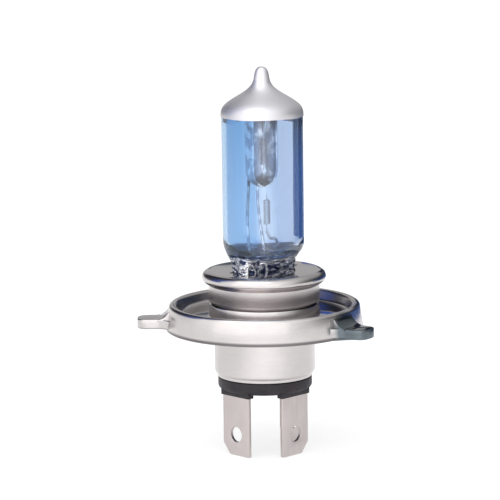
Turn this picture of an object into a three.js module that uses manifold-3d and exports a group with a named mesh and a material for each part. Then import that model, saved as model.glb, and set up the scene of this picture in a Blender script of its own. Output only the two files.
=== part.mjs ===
// Twin-filament halogen headlight bulb on a three-lug flange base, in millimetres.
// +Z runs along the bulb axis to the glass tip.
// The origin is on the axis, in the plane of the lugs' seating faces.
// The middle terminal blade faces -Y, the two parallel blades face -X and +X.

import * as THREE from "three";
import { mergeVertices } from "three/addons/utils/BufferGeometryUtils.js";
import Module from "manifold-3d";

const wasm = await Module();
wasm.setup();

// Resolution of the facets.
const ROUND_SEGMENTS = 32;
const RING_SEGMENTS = 40;
const WIRE_SIDES = 5;
const CURVE_STEPS = 3;
const SHIELD_SEGMENTS = 24;
const HOLE_SEGMENTS = 20;

// How far a cutting tool reaches past a face, and how far joined bodies reach into each other.
const OVERSHOOT = 1.0;
const JOIN_OVERLAP = 0.1;

// Corners closer together than this are one corner.
const MERGE_TOLERANCE = 1e-4;

// Glass tube, its pinched foot and its drawn-off tip.
const GLASS_RADIUS = 8.9;
const GLASS_WALL = 1.0;
const TIP_TOP = 54.8;
const SHOULDER_START = 44.6;
const HOLLOW_RADIUS = GLASS_RADIUS - GLASS_WALL;
const HOLLOW_FLOOR = 13.4;
const HOLLOW_ROUND_TOP = 17.6;
const HOLLOW_DOME_TOP = 48.4;
const PINCH_BOTTOM = -1.0;
const PINCH_TOP = 12.2;
const TUBE_START = 16.7;
const PINCH_HALF_WIDTH = 8.3;
const PINCH_HALF_THICKNESS = 2.3;
const PINCH_CORNER_POWER = 8;
const TRANSITION_RINGS = 8;
const TRANSITION_SPREAD = 2;
const TRANSITION_ROUNDING = 8;

// Curve control points (radius, height) of the crown and of the hollow.
const CROWN_CURVES = [
  [[GLASS_RADIUS, 46.2], [7.8, 47.0], [5.55, 48.35]],
  [[3.6, 49.5], [2.2, 50.3], [1.7, 51.9]],
  [[1.4, 53.2], [1.5, TIP_TOP], [0, TIP_TOP]],
];
const HOLLOW_FOOT_CURVE = [
  [0.62 * HOLLOW_RADIUS, HOLLOW_FLOOR],
  [HOLLOW_RADIUS, 14.9],
  [HOLLOW_RADIUS, HOLLOW_ROUND_TOP],
];
const HOLLOW_SHOULDER_CURVE = [[HOLLOW_RADIUS, 46.2], [6.4, 46.6], [4.2, 47.6]];
const HOLLOW_DOME_CURVE = [[2.4, HOLLOW_DOME_TOP], [0, HOLLOW_DOME_TOP]];

// Lead channels through the pinch: they hold the foils and open the hollow.
const LEAD_SPACING = 4.5;
const CHANNEL_WIDTH = 2.2;
const CHANNEL_THICKNESS = 1.0;
const FOIL_WIDTH = 1.6;
const FOIL_THICKNESS = 0.2;
const FOIL_BOTTOM = 2.5;
const FOIL_TOP = 9.5;
const JOINT_GAP = 0.3;

// Opaque coating over the tip.
const COAT_EDGE = 44.0;
const COAT_GAP = 0.05;
const COAT_THICKNESS = 0.12;

// Low-beam shield: an open trough with a rounded lower end.
const SHIELD_RADIUS = 3.8;
const SHIELD_SHEET = 0.25;
const SHIELD_BOTTOM = 28.6;
const SHIELD_TOP = 43.9;
const SHIELD_RIM_Y = -1.0;

// Filaments and the wires that carry them.
const COIL_RADIUS = 0.75;
const COIL_WIRE_RADIUS = 0.17;
const COIL_LENGTH = 5.5;
const COIL_TURNS = 7;
const COIL_STEPS_PER_TURN = 8;
const COIL_LEG = 1.2;
const COIL_LEAD_IN_STEPS = 3;
const COIL_LEG_STEPS = 8;
const LOW_COIL_FOOT = new THREE.Vector3(0, -0.3, 33.6);
const HIGH_COIL_FOOT = new THREE.Vector3(0.3, -0.8, 20.4);
const SUPPORT_RADIUS = 0.32;
const LOW_SUPPORT_TURN = 30;
const COMMON_SUPPORT_STEPS = 12;
const LOW_SUPPORT_STEPS = 32;
const HIGH_SUPPORT_STEPS = 14;
const LEAD_STEPS = 14;

// Heights at which the support wires bend, and where the common one ends.
const COMMON_BEND = { straightTop: 17.0, lean: 22.0, shieldFoot: 29.0, top: 40.0 };
const LOW_BEND = { straightTop: 15.5, lean: 18.0, behindShield: 24.0, midShield: 34.0 };
const LOW_ARCH = { rise: 44.3, back: 45.7, front: 45.8, fall: 44.6, halfDepth: 1.2 };
const HIGH_BEND = { straightTop: 15.0, elbow: 16.6, underCoil: 17.4, elbowReach: 0.8 };
const LEAD_BEND = { straight: 1.0, swing: -4.2, swingReach: 0.55, tangDepth: 0.6 };
const LEAD_RADIUS = 0.4;

// Sheet-metal base.
const SHEET = 0.4;
const CAP_SHEET = 0.45;
const CAP_TOP = 10.4;
const CAP_SLOT_CLEARANCE = 0.3;
const CAP_LIP_RADIUS = 13.6;
const CAP_LIP_HEIGHT = 8.9;
const CAP_LIP_ROUND = 1.5;
const CAP_SHOULDER = { low: 7.0, high: 7.3 };
const CAP_SKIRT_TOP = 6.3;
const CAP_SKIRT_TOP_RADIUS = 12.15;
const CAP_SKIRT_BOTTOM = 3.7;
const CAP_SKIRT_RADIUS = 12.3;
const CLIP_PLATE_RADIUS = 11.8;
const CLIP_PLATE_BOTTOM = 9.4;
const CLIP_TUBE_BOTTOM = 2.0;
const CLIP_CLEARANCE = 0.3;
const SLEEVE_RADIUS = 11.2;
const SLEEVE_BOTTOM = 0.3;
const SLEEVE_TOP = 8.5;
const SLEEVE_LIP_RADIUS = 9.6;
const SLEEVE_ROUND = 0.6;

// Flange ring with its three lugs.
const RING_SHEET = 0.5;
const NECK_RADIUS = 11.85;
const NECK_TOP = 3.1;
const DISH_HEIGHT = 0.25;
const DISH_EDGE_RADIUS = 17.2;
const DISH_ROUND = 0.6;
const CREST_RADIUS = 20.1;
const CREST_HEIGHT = 2.75;
const CREST_INNER_RADIUS = 19.1;
const CREST_INNER_HEIGHT = 1.9;
const CREST_OUTER_RADIUS = 20.65;
const CREST_OUTER_HEIGHT = 2.0;
const CREST_ROUND = 0.5;
const BAND_BOTTOM_RADIUS = 21.5;
const BAND_BOTTOM = -2.6;
const LUG_TIP_RADIUS = 27.9;
const LUG_ROOT_RADIUS = 20.6;
const LUG_ROOT_FLARE = 2.0;
const LUG_DEPTH = 2.1;
const LUG_SHEET = 0.6;
const LUG_CORNER = 2.4;
const LUG_WAIST_RADIUS = 22.8;
const LUG_WAIST_ROUND = 1.0;
const LUG_RAMP_INNER = 20.4;
const LUG_RAMP_OUTER = 23.4;
const LUG_RAMP_BEND = 22.0;
const LUG_RAMP_BOTTOM = -0.3;
const LUG_RAMP_MARGIN = 0.4;
const TAB_LUG_ANGLE = -81;
const LUGS = [
  { angle: TAB_LUG_ANGLE, half: 3.0 },
  { angle: 30, half: 4.0 },
  { angle: 136, half: 3.0 },
];
const NOTCH_MARGIN = 0.8;
const NOTCH_TOP = -1.5;
const TAB_TIP_RADIUS = 25.6;
const TAB_ROOT_RADIUS = 19.6;
const TAB_HALF_WIDTH = 6.4;
const TAB_SHAPE = { radius: 22.45, half: 2.6 };
const TAB_SHEET = 0.4;

// Base shell, insulator and terminal blades.
const SHELL_RADIUS = 10.85;
const SHELL_END_RADIUS = 10.3;
const SHELL_FLANGE_RADIUS = 15.5;
const SHELL_FLANGE_HEIGHT = -0.35;
const SHELL_ROUND = 0.6;
const SHELL_TAPER_TOP = -11.6;
const SHELL_TAPER_BEND = -12.1;
const SHELL_END_TOP = -12.4;
const SHELL_BOTTOM = -13.1;
const INSULATOR_RADIUS = 10.35;
const INSULATOR_BOTTOM = -15.9;
const INSULATOR_SHOULDER = -13.25;
const INSULATOR_GROOVE_RADIUS = 9.85;
const INSULATOR_GROOVE_TOP = -12.2;
const INSULATOR_PLUG_RADIUS = 10.2;
const INSULATOR_PLUG_TOP = -9.6;
const INSULATOR_EDGE = 0.9;
const BOSS_DEPTH = 0.8;
const BOSS_INNER_MARGIN = 0.55;
const BOSS_OUTER_MARGIN = 0.3;
const BOSS_ROOT = 0.5;
const BLADE_OFFSET = 8.8;
const BLADE_WIDTH = 7.9;
const BLADE_THICKNESS = 0.8;
const BLADE_ROOT_THICKNESS = 0.7;
const BLADE_BOTTOM = -29.9;
const BLADE_SHOULDER = -13.7;
const TANG_WIDTH = 4.0;
const TANG_TOP = -6.6;
const BLADE_HOLE_RADIUS = 1.7;
const BLADE_HOLE_HEIGHT = -25.2;
const BLADE_CHAMFER_HEIGHT = 2.4;
const BLADE_CHAMFER_WIDTH = 1.7;
const BLADE_CORNER = 0.3;
const SLOT_GAP = 0.1;

// Finishes.
const finish = (color, roughness, metalness, extra = {}) =>
  new THREE.MeshStandardMaterial({ color, roughness, metalness, ...extra });
const FINISHES = {
  glass: finish(0x8fb4e0, 0.06, 0.0, { transparent: true, opacity: 0.45 }),
  coating: finish(0xc9c6cb, 0.35, 0.6),
  tungsten: finish(0x8c8c92, 0.4, 1.0),
  molybdenum: finish(0xb4b4ba, 0.25, 1.0),
  nickel: finish(0xc8c8cc, 0.25, 1.0),
  steel: finish(0xd2cdcb, 0.2, 1.0),
  ceramic: finish(0x1d1b20, 0.5, 0.0),
  terminal: finish(0xc6beba, 0.38, 1.0),
};

const group = new THREE.Group();
const addPart = (name, geometry, material) => {
  geometry.computeVertexNormals();
  const mesh = new THREE.Mesh(geometry, FINISHES[material]);
  mesh.name = name;
  group.add(mesh);
};

// Booleans: a geometry as a closed solid, and a solid as a geometry again.
const toSolid = (geometry) => {
  const bare = geometry.clone();
  bare.deleteAttribute("normal");
  bare.deleteAttribute("uv");
  const merged = mergeVertices(bare, MERGE_TOLERANCE);
  return new wasm.Manifold(
    new wasm.Mesh({
      numProp: 3,
      vertProperties: new Float32Array(merged.attributes.position.array),
      triVerts: new Uint32Array(merged.index.array),
    }),
  );
};
const toGeometry = (solid) => {
  const mesh = solid.getMesh();
  const geometry = new THREE.BufferGeometry();
  geometry.setAttribute("position", new THREE.BufferAttribute(mesh.vertProperties, 3));
  geometry.setIndex(new THREE.BufferAttribute(mesh.triVerts, 1));
  return geometry;
};
const cut = (geometry, tools) =>
  toGeometry(tools.reduce((solid, tool) => solid.subtract(toSolid(tool)), toSolid(geometry)));
const join = (geometry, others) =>
  toGeometry(others.reduce((solid, other) => solid.add(toSolid(other)), toSolid(geometry)));

// A solid of revolution about Z from points (radius, height).
const revolve = (points, segments = ROUND_SEGMENTS) =>
  new THREE.LatheGeometry(points, segments).rotateX(Math.PI / 2);

// Points moved sideways off a line by a distance, to the right of its direction.
const offsetLine = (points, distance) =>
  points.map((point, i) => {
    const before = points[Math.max(i - 1, 0)];
    const after = points[Math.min(i + 1, points.length - 1)];
    const along = after.clone().sub(before).normalize();
    const moved = new THREE.Vector2(along.y, -along.x).multiplyScalar(distance).add(point);
    return point.x === 0 ? moved.setX(0) : moved;
  });

// A closed outline of sheet metal of even thickness about its middle line.
const sheetOutline = (path, thickness) => {
  const middle = path.getPoints(CURVE_STEPS);
  const outer = offsetLine(middle, thickness / 2);
  const inner = offsetLine(middle, -thickness / 2).reverse();
  return [...outer, ...inner, outer[0]];
};

// A box from its two opposite corners.
const boxBetween = (low, high) => {
  const size = high.map((value, i) => value - low[i]);
  const middle = high.map((value, i) => (value + low[i]) / 2);
  return new THREE.BoxGeometry(...size).translate(...middle);
};

// A wire of round section along a smooth curve through points.
const wire = (points, radius, steps) => {
  const section = new THREE.Shape();
  for (let i = 0; i < WIRE_SIDES; i++) {
    const angle = (2 * Math.PI * i) / WIRE_SIDES;
    section[i ? "lineTo" : "moveTo"](radius * Math.cos(angle), radius * Math.sin(angle));
  }
  const extrudePath = new THREE.CatmullRomCurve3(points, false, "centripetal");
  return new THREE.ExtrudeGeometry(section, { steps, extrudePath, bevelEnabled: false });
};

// A solid through level rings with a squared-round outline.
// Each ring has height z, half sizes a and b, and power n: 2 is round, more is squarer.
const loft = (rings) => {
  const positions = [];
  const indices = [];
  for (const { z, a, b, n } of rings) {
    for (let i = 0; i < ROUND_SEGMENTS; i++) {
      const angle = (2 * Math.PI * i) / ROUND_SEGMENTS;
      const c = Math.cos(angle);
      const s = Math.sin(angle);
      const x = a * Math.sign(c) * Math.abs(c) ** (2 / n);
      const y = b * Math.sign(s) * Math.abs(s) ** (2 / n);
      positions.push(x, y, z);
    }
  }
  for (let ring = 0; ring + 1 < rings.length; ring++) {
    for (let i = 0; i < ROUND_SEGMENTS; i++) {
      const here = ring * ROUND_SEGMENTS + i;
      const next = ring * ROUND_SEGMENTS + ((i + 1) % ROUND_SEGMENTS);
      indices.push(here, next, next + ROUND_SEGMENTS);
      indices.push(here, next + ROUND_SEGMENTS, here + ROUND_SEGMENTS);
    }
  }
  const top = (rings.length - 1) * ROUND_SEGMENTS;
  for (let i = 1; i + 1 < ROUND_SEGMENTS; i++) {
    indices.push(0, i + 1, i);
    indices.push(top, top + i, top + i + 1);
  }
  const geometry = new THREE.BufferGeometry();
  geometry.setAttribute("position", new THREE.Float32BufferAttribute(positions, 3));
  geometry.setIndex(indices);
  return geometry;
};

// Outline of the crown, from the tube's shoulder to the point of the drawn-off tip.
const crownLine = () => {
  const path = new THREE.Path();
  path.moveTo(GLASS_RADIUS, COAT_EDGE);
  path.lineTo(GLASS_RADIUS, SHOULDER_START);
  CROWN_CURVES.forEach((points) => path.bezierCurveTo(...points.flat()));
  return path.getPoints(CURVE_STEPS);
};

const tubeAndTip = () => {
  const path = [new THREE.Vector2(0, TUBE_START), new THREE.Vector2(GLASS_RADIUS, TUBE_START)];
  return revolve([...path, ...crownLine()]);
};

// The foot of the tube: round at the top, pressed flat at the bottom.
const pinchedFoot = () => {
  const rings = [PINCH_BOTTOM, PINCH_TOP].map((z) => ({
    z,
    a: PINCH_HALF_WIDTH,
    b: PINCH_HALF_THICKNESS,
    n: PINCH_CORNER_POWER,
  }));
  for (let i = 1; i <= TRANSITION_RINGS; i++) {
    const t = i / TRANSITION_RINGS;
    const rise = t ** TRANSITION_SPREAD;
    const swell = Math.sqrt(1 - (1 - rise) ** 2);
    const squareness = (1 - t) ** TRANSITION_ROUNDING;
    rings.push({
      z: THREE.MathUtils.lerp(PINCH_TOP, TUBE_START, rise),
      a: THREE.MathUtils.lerp(PINCH_HALF_WIDTH, GLASS_RADIUS, rise),
      b: THREE.MathUtils.lerp(PINCH_HALF_THICKNESS, GLASS_RADIUS, swell),
      n: THREE.MathUtils.lerp(2, PINCH_CORNER_POWER, squareness),
    });
  }
  return loft(rings);
};

const hollow = () => {
  const path = new THREE.Path();
  path.moveTo(0, HOLLOW_FLOOR);
  path.bezierCurveTo(...HOLLOW_FOOT_CURVE.flat());
  path.lineTo(HOLLOW_RADIUS, SHOULDER_START);
  path.bezierCurveTo(...HOLLOW_SHOULDER_CURVE.flat());
  path.quadraticCurveTo(...HOLLOW_DOME_CURVE.flat());
  return revolve(path.getPoints(CURVE_STEPS));
};

const leadChannel = (x) =>
  boxBetween(
    [x - CHANNEL_WIDTH / 2, -CHANNEL_THICKNESS / 2, PINCH_BOTTOM - OVERSHOOT],
    [x + CHANNEL_WIDTH / 2, CHANNEL_THICKNESS / 2, HOLLOW_ROUND_TOP],
  );

const makeEnvelope = () => {
  const blank = join(tubeAndTip(), [pinchedFoot()]);
  const channels = [-LEAD_SPACING, 0, LEAD_SPACING].map(leadChannel);
  addPart("glass_envelope", cut(blank, [hollow(), ...channels]), "glass");
};

const makeTipCoating = () => {
  const line = crownLine();
  const outside = offsetLine(line, COAT_GAP + COAT_THICKNESS);
  const inside = offsetLine(line, COAT_GAP).reverse();
  addPart("tip_coating", revolve([...inside, ...outside]), "coating");
};

// A trough: a cup with a round end, cut open along its -Y side.
const makeShield = () => {
  const cup = (radius, top) => {
    const path = new THREE.Path();
    path.moveTo(0, SHIELD_BOTTOM + SHIELD_RADIUS - radius);
    path.absarc(0, SHIELD_BOTTOM + SHIELD_RADIUS, radius, -Math.PI / 2, 0, false);
    path.lineTo(radius, top);
    path.lineTo(0, top);
    return revolve(path.getPoints(CURVE_STEPS), SHIELD_SEGMENTS);
  };
  const front = boxBetween(
    [-2 * SHIELD_RADIUS, -2 * SHIELD_RADIUS, SHIELD_BOTTOM - OVERSHOOT],
    [2 * SHIELD_RADIUS, SHIELD_RIM_Y, SHIELD_TOP + OVERSHOOT],
  );
  const inside = cup(SHIELD_RADIUS - SHIELD_SHEET, SHIELD_TOP + OVERSHOOT);
  addPart("beam_shield", cut(cup(SHIELD_RADIUS, SHIELD_TOP), [inside, front]), "molybdenum");
};

// A coil that stands on its foot, with a straight leg at each end.
const makeFilament = (name, foot) => {
  const points = [foot.clone().add(new THREE.Vector3(0, 0, -COIL_LEG))];
  const steps = COIL_TURNS * COIL_STEPS_PER_TURN;
  for (let i = 0; i <= steps; i++) {
    const angle = (2 * Math.PI * i) / COIL_STEPS_PER_TURN;
    const ease = Math.min(1, i / COIL_LEAD_IN_STEPS, (steps - i) / COIL_LEAD_IN_STEPS);
    const x = ease * COIL_RADIUS * Math.cos(angle);
    const y = ease * COIL_RADIUS * Math.sin(angle);
    points.push(foot.clone().add(new THREE.Vector3(x, y, (COIL_LENGTH * i) / steps)));
  }
  points.push(foot.clone().add(new THREE.Vector3(0, 0, COIL_LENGTH + COIL_LEG)));
  addPart(name, wire(points, COIL_WIRE_RADIUS, steps + COIL_LEG_STEPS), "tungsten");
};

const vectors = (...rows) => rows.map((row) => new THREE.Vector3(...row));

// Support wires inside the bulb, from the foils up.
const makeSupports = () => {
  const start = FOIL_TOP + JOINT_GAP;
  const behind = SHIELD_RADIUS + JOINT_GAP + SUPPORT_RADIUS;
  const turn = THREE.MathUtils.degToRad(LOW_SUPPORT_TURN);
  const lowAt = (reach, z) => [reach * Math.sin(turn), reach * Math.cos(turn), z];
  const coilY = HIGH_COIL_FOOT.y;
  const highFoot = HIGH_COIL_FOOT.z - COIL_LEG - JOINT_GAP;
  const lowHead = LOW_COIL_FOOT.z + COIL_LENGTH + COIL_LEG + JOINT_GAP;
  const common = vectors(
    [-LEAD_SPACING, 0, start],
    [-LEAD_SPACING, 0, COMMON_BEND.straightTop],
    [-LEAD_SPACING, SUPPORT_RADIUS, COMMON_BEND.lean],
    [0, behind, COMMON_BEND.shieldFoot],
    [0, behind, COMMON_BEND.top],
  );
  const low = vectors(
    [0, 0, start],
    [0, 0, LOW_BEND.straightTop],
    lowAt(LOW_ARCH.halfDepth, LOW_BEND.lean),
    lowAt(behind, LOW_BEND.behindShield),
    lowAt(behind, LOW_BEND.midShield),
    lowAt(behind, LOW_ARCH.rise),
    lowAt(behind - LOW_ARCH.halfDepth, LOW_ARCH.back),
    lowAt(LOW_ARCH.halfDepth, LOW_ARCH.front),
    [0, LOW_COIL_FOOT.y, LOW_ARCH.fall],
    [0, LOW_COIL_FOOT.y, lowHead],
  );
  const high = vectors(
    [LEAD_SPACING, 0, start],
    [LEAD_SPACING, 0, HIGH_BEND.straightTop],
    [LEAD_SPACING - HIGH_BEND.elbowReach, coilY / 4, HIGH_BEND.elbow],
    [HIGH_COIL_FOOT.x + HIGH_BEND.elbowReach, coilY, HIGH_BEND.underCoil],
    [HIGH_COIL_FOOT.x, coilY, highFoot],
  );
  addPart("common_support", wire(common, SUPPORT_RADIUS, COMMON_SUPPORT_STEPS), "molybdenum");
  addPart("low_beam_support", wire(low, SUPPORT_RADIUS, LOW_SUPPORT_STEPS), "molybdenum");
  addPart("high_beam_support", wire(high, SUPPORT_RADIUS, HIGH_SUPPORT_STEPS), "molybdenum");
};

const makeFoil = (name, x) => {
  const low = [x - FOIL_WIDTH / 2, -FOIL_THICKNESS / 2, FOIL_BOTTOM];
  const high = [x + FOIL_WIDTH / 2, FOIL_THICKNESS / 2, FOIL_TOP];
  addPart(name, boxBetween(low, high), "molybdenum");
};

// An outer lead from a foil down to the inner face of a blade's tang, which stands in direction (dx, dy).
const makeLead = (name, x, dx, dy) => {
  const reach = BLADE_OFFSET - BLADE_THICKNESS / 2 - LEAD_RADIUS - SLOT_GAP;
  const swing = LEAD_BEND.swingReach;
  const points = vectors(
    [x, 0, FOIL_BOTTOM - JOINT_GAP],
    [x, 0, PINCH_BOTTOM - JOIN_OVERLAP],
    [x, 0, PINCH_BOTTOM - LEAD_BEND.straight],
    [x * (1 - swing) + dx * reach * swing, dy * reach * swing, LEAD_BEND.swing],
    [dx * reach, dy * reach, TANG_TOP - LEAD_BEND.tangDepth],
    [dx * reach, dy * reach, INSULATOR_PLUG_TOP + JOINT_GAP],
  );
  addPart(name, wire(points, LEAD_RADIUS, LEAD_STEPS), "nickel");
};

// Spring clip that grips the pinch: a plate with a flat tube below it.
const makeSealClip = () => {
  const innerX = PINCH_HALF_WIDTH + CLIP_CLEARANCE;
  const innerY = PINCH_HALF_THICKNESS + CLIP_CLEARANCE;
  const outerX = innerX + SHEET;
  const outerY = innerY + SHEET;
  const plateTop = CLIP_PLATE_BOTTOM + SHEET;
  const plate = revolve([
    new THREE.Vector2(0, CLIP_PLATE_BOTTOM),
    new THREE.Vector2(CLIP_PLATE_RADIUS, CLIP_PLATE_BOTTOM),
    new THREE.Vector2(CLIP_PLATE_RADIUS, plateTop),
    new THREE.Vector2(0, plateTop),
  ]);
  const tube = boxBetween([-outerX, -outerY, CLIP_TUBE_BOTTOM], [outerX, outerY, plateTop]);
  const bore = boxBetween(
    [-innerX, -innerY, CLIP_TUBE_BOTTOM - OVERSHOOT],
    [innerX, innerY, plateTop + OVERSHOOT],
  );
  addPart("seal_clip", cut(join(plate, [tube]), [bore]), "steel");
};

// Focusing cap: a shallow inverted cup with a soft shoulder, a straight skirt and a slot for the pinch.
const makeFocusCap = () => {
  const sheet = CAP_SHEET / 2;
  const top = CAP_TOP - sheet;
  const lip = CAP_LIP_RADIUS - sheet;
  const skirtTop = CAP_SKIRT_TOP_RADIUS - sheet;
  const path = new THREE.Path();
  path.moveTo(CAP_SKIRT_RADIUS - sheet, CAP_SKIRT_BOTTOM);
  path.lineTo(skirtTop, CAP_SKIRT_TOP);
  path.bezierCurveTo(skirtTop, CAP_SHOULDER.low, lip, CAP_SHOULDER.high, lip, CAP_LIP_HEIGHT);
  path.quadraticCurveTo(lip, top, lip - CAP_LIP_ROUND, top);
  path.lineTo(0, top);
  const slot = loft(
    [CAP_TOP - OVERSHOOT, CAP_TOP + OVERSHOOT].map((z) => ({
      z,
      a: PINCH_HALF_WIDTH + CAP_SLOT_CLEARANCE,
      b: PINCH_HALF_THICKNESS + CAP_SLOT_CLEARANCE,
      n: PINCH_CORNER_POWER,
    })),
  );
  addPart("focus_cap", cut(revolve(sheetOutline(path, CAP_SHEET)), [slot]), "steel");
};

// Sleeve that carries the clip's plate inside the cap and the ring's neck.
const makeInnerSleeve = () => {
  const path = new THREE.Path();
  path.moveTo(SLEEVE_RADIUS, SLEEVE_BOTTOM);
  path.lineTo(SLEEVE_RADIUS, SLEEVE_TOP - SLEEVE_ROUND);
  path.quadraticCurveTo(SLEEVE_RADIUS, SLEEVE_TOP, SLEEVE_RADIUS - SLEEVE_ROUND, SLEEVE_TOP);
  path.lineTo(SLEEVE_LIP_RADIUS, SLEEVE_TOP);
  addPart("inner_sleeve", revolve(sheetOutline(path, SHEET)), "steel");
};

// Neck, dish, crest and outer band in one sheet.
const ringBody = () => {
  const path = new THREE.Path();
  path.moveTo(BAND_BOTTOM_RADIUS, BAND_BOTTOM);
  path.lineTo(CREST_OUTER_RADIUS, CREST_OUTER_HEIGHT);
  path.quadraticCurveTo(CREST_RADIUS + CREST_ROUND, CREST_HEIGHT, CREST_RADIUS, CREST_HEIGHT);
  path.quadraticCurveTo(
    CREST_RADIUS - CREST_ROUND,
    CREST_HEIGHT,
    CREST_INNER_RADIUS,
    CREST_INNER_HEIGHT,
  );
  path.quadraticCurveTo(
    CREST_INNER_RADIUS - DISH_ROUND,
    DISH_HEIGHT,
    DISH_EDGE_RADIUS,
    DISH_HEIGHT,
  );
  path.lineTo(NECK_RADIUS + DISH_ROUND, DISH_HEIGHT);
  path.quadraticCurveTo(NECK_RADIUS, DISH_HEIGHT, NECK_RADIUS, DISH_HEIGHT + DISH_ROUND);
  path.lineTo(NECK_RADIUS, NECK_TOP);
  return revolve(sheetOutline(path, RING_SHEET), RING_SEGMENTS);
};

// A lug's outline seen from above, pointing along +X, drawn in from its edge by an inset.
const lugShape = (halfWidth, inset) => {
  const tip = LUG_TIP_RADIUS - inset;
  const half = halfWidth - inset;
  const root = half + LUG_ROOT_FLARE;
  const shape = new THREE.Shape();
  shape.moveTo(LUG_ROOT_RADIUS - inset, -root);
  shape.quadraticCurveTo(LUG_WAIST_RADIUS, -half, LUG_WAIST_RADIUS + LUG_WAIST_ROUND, -half);
  shape.lineTo(tip - LUG_CORNER, -half);
  shape.quadraticCurveTo(tip, -half, tip, -half + LUG_CORNER);
  shape.lineTo(tip, half - LUG_CORNER);
  shape.quadraticCurveTo(tip, half, tip - LUG_CORNER, half);
  shape.lineTo(LUG_WAIST_RADIUS + LUG_WAIST_ROUND, half);
  shape.quadraticCurveTo(LUG_WAIST_RADIUS, half, LUG_ROOT_RADIUS - inset, root);
  shape.closePath();
  return shape;
};
const slab = (shape, bottom, top) => {
  const options = { depth: top - bottom, bevelEnabled: false, curveSegments: CURVE_STEPS };
  return new THREE.ExtrudeGeometry(shape, options).translate(0, 0, bottom);
};
const turned = (geometry, degrees) => geometry.rotateZ(THREE.MathUtils.degToRad(degrees));

// The sloping root that carries the ring's crest down to the lug's seating face.
const lugRamp = (lugHalfWidth) => {
  const half = lugHalfWidth + LUG_RAMP_MARGIN;
  const side = new THREE.Shape();
  side.moveTo(LUG_RAMP_INNER, LUG_RAMP_BOTTOM);
  side.lineTo(LUG_RAMP_OUTER, LUG_RAMP_BOTTOM);
  side.lineTo(LUG_RAMP_OUTER, 0);
  side.quadraticCurveTo(LUG_RAMP_BEND, 0, LUG_RAMP_INNER, CREST_HEIGHT);
  side.closePath();
  const options = { depth: 2 * half, bevelEnabled: false, curveSegments: CURVE_STEPS };
  return new THREE.ExtrudeGeometry(side, options).rotateX(Math.PI / 2).translate(0, half, 0);
};

const bandTab = () => {
  const shape = new THREE.Shape();
  shape.moveTo(TAB_ROOT_RADIUS, -TAB_HALF_WIDTH);
  shape.quadraticCurveTo(TAB_SHAPE.radius, -TAB_SHAPE.half, TAB_TIP_RADIUS, 0);
  shape.quadraticCurveTo(TAB_SHAPE.radius, TAB_SHAPE.half, TAB_ROOT_RADIUS, TAB_HALF_WIDTH);
  shape.closePath();
  return slab(shape, BAND_BOTTOM, BAND_BOTTOM + TAB_SHEET);
};

const makeFlangeRing = () => {
  const notches = LUGS.map(({ angle, half }) => {
    const low = [CREST_INNER_RADIUS - OVERSHOOT, -half - NOTCH_MARGIN, BAND_BOTTOM - OVERSHOOT];
    const high = [BAND_BOTTOM_RADIUS + OVERSHOOT, half + NOTCH_MARGIN, NOTCH_TOP];
    return turned(boxBetween(low, high), angle);
  });
  const lugs = LUGS.flatMap(({ angle, half }) => [
    turned(slab(lugShape(half, 0), -LUG_DEPTH, 0), angle),
    turned(lugRamp(half), angle),
  ]);
  const pockets = LUGS.map(({ angle, half }) =>
    turned(slab(lugShape(half, LUG_SHEET), -LUG_DEPTH - OVERSHOOT, -LUG_SHEET), angle),
  );
  const lugged = cut(join(cut(ringBody(), notches), lugs), pockets);
  addPart("flange_ring", join(lugged, [turned(bandTab(), TAB_LUG_ANGLE)]), "steel");
};

const makeBaseShell = () => {
  const path = new THREE.Path();
  path.moveTo(SHELL_END_RADIUS, SHELL_BOTTOM);
  path.lineTo(SHELL_END_RADIUS, SHELL_END_TOP);
  path.quadraticCurveTo(SHELL_RADIUS, SHELL_TAPER_BEND, SHELL_RADIUS, SHELL_TAPER_TOP);
  path.lineTo(SHELL_RADIUS, SHELL_FLANGE_HEIGHT - SHELL_ROUND);
  path.quadraticCurveTo(
    SHELL_RADIUS,
    SHELL_FLANGE_HEIGHT,
    SHELL_RADIUS + SHELL_ROUND,
    SHELL_FLANGE_HEIGHT,
  );
  path.lineTo(SHELL_FLANGE_RADIUS, SHELL_FLANGE_HEIGHT);
  addPart("base_shell", revolve(sheetOutline(path, SHEET)), "steel");
};

// The three blades: each one's turn about Z from facing +X, and the side of its cut corner.
const BLADES = [
  { name: "common_blade", turn: 180, chamferSide: -1 },
  { name: "low_beam_blade", turn: -90, chamferSide: 1 },
  { name: "high_beam_blade", turn: 0, chamferSide: 1 },
];

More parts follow.
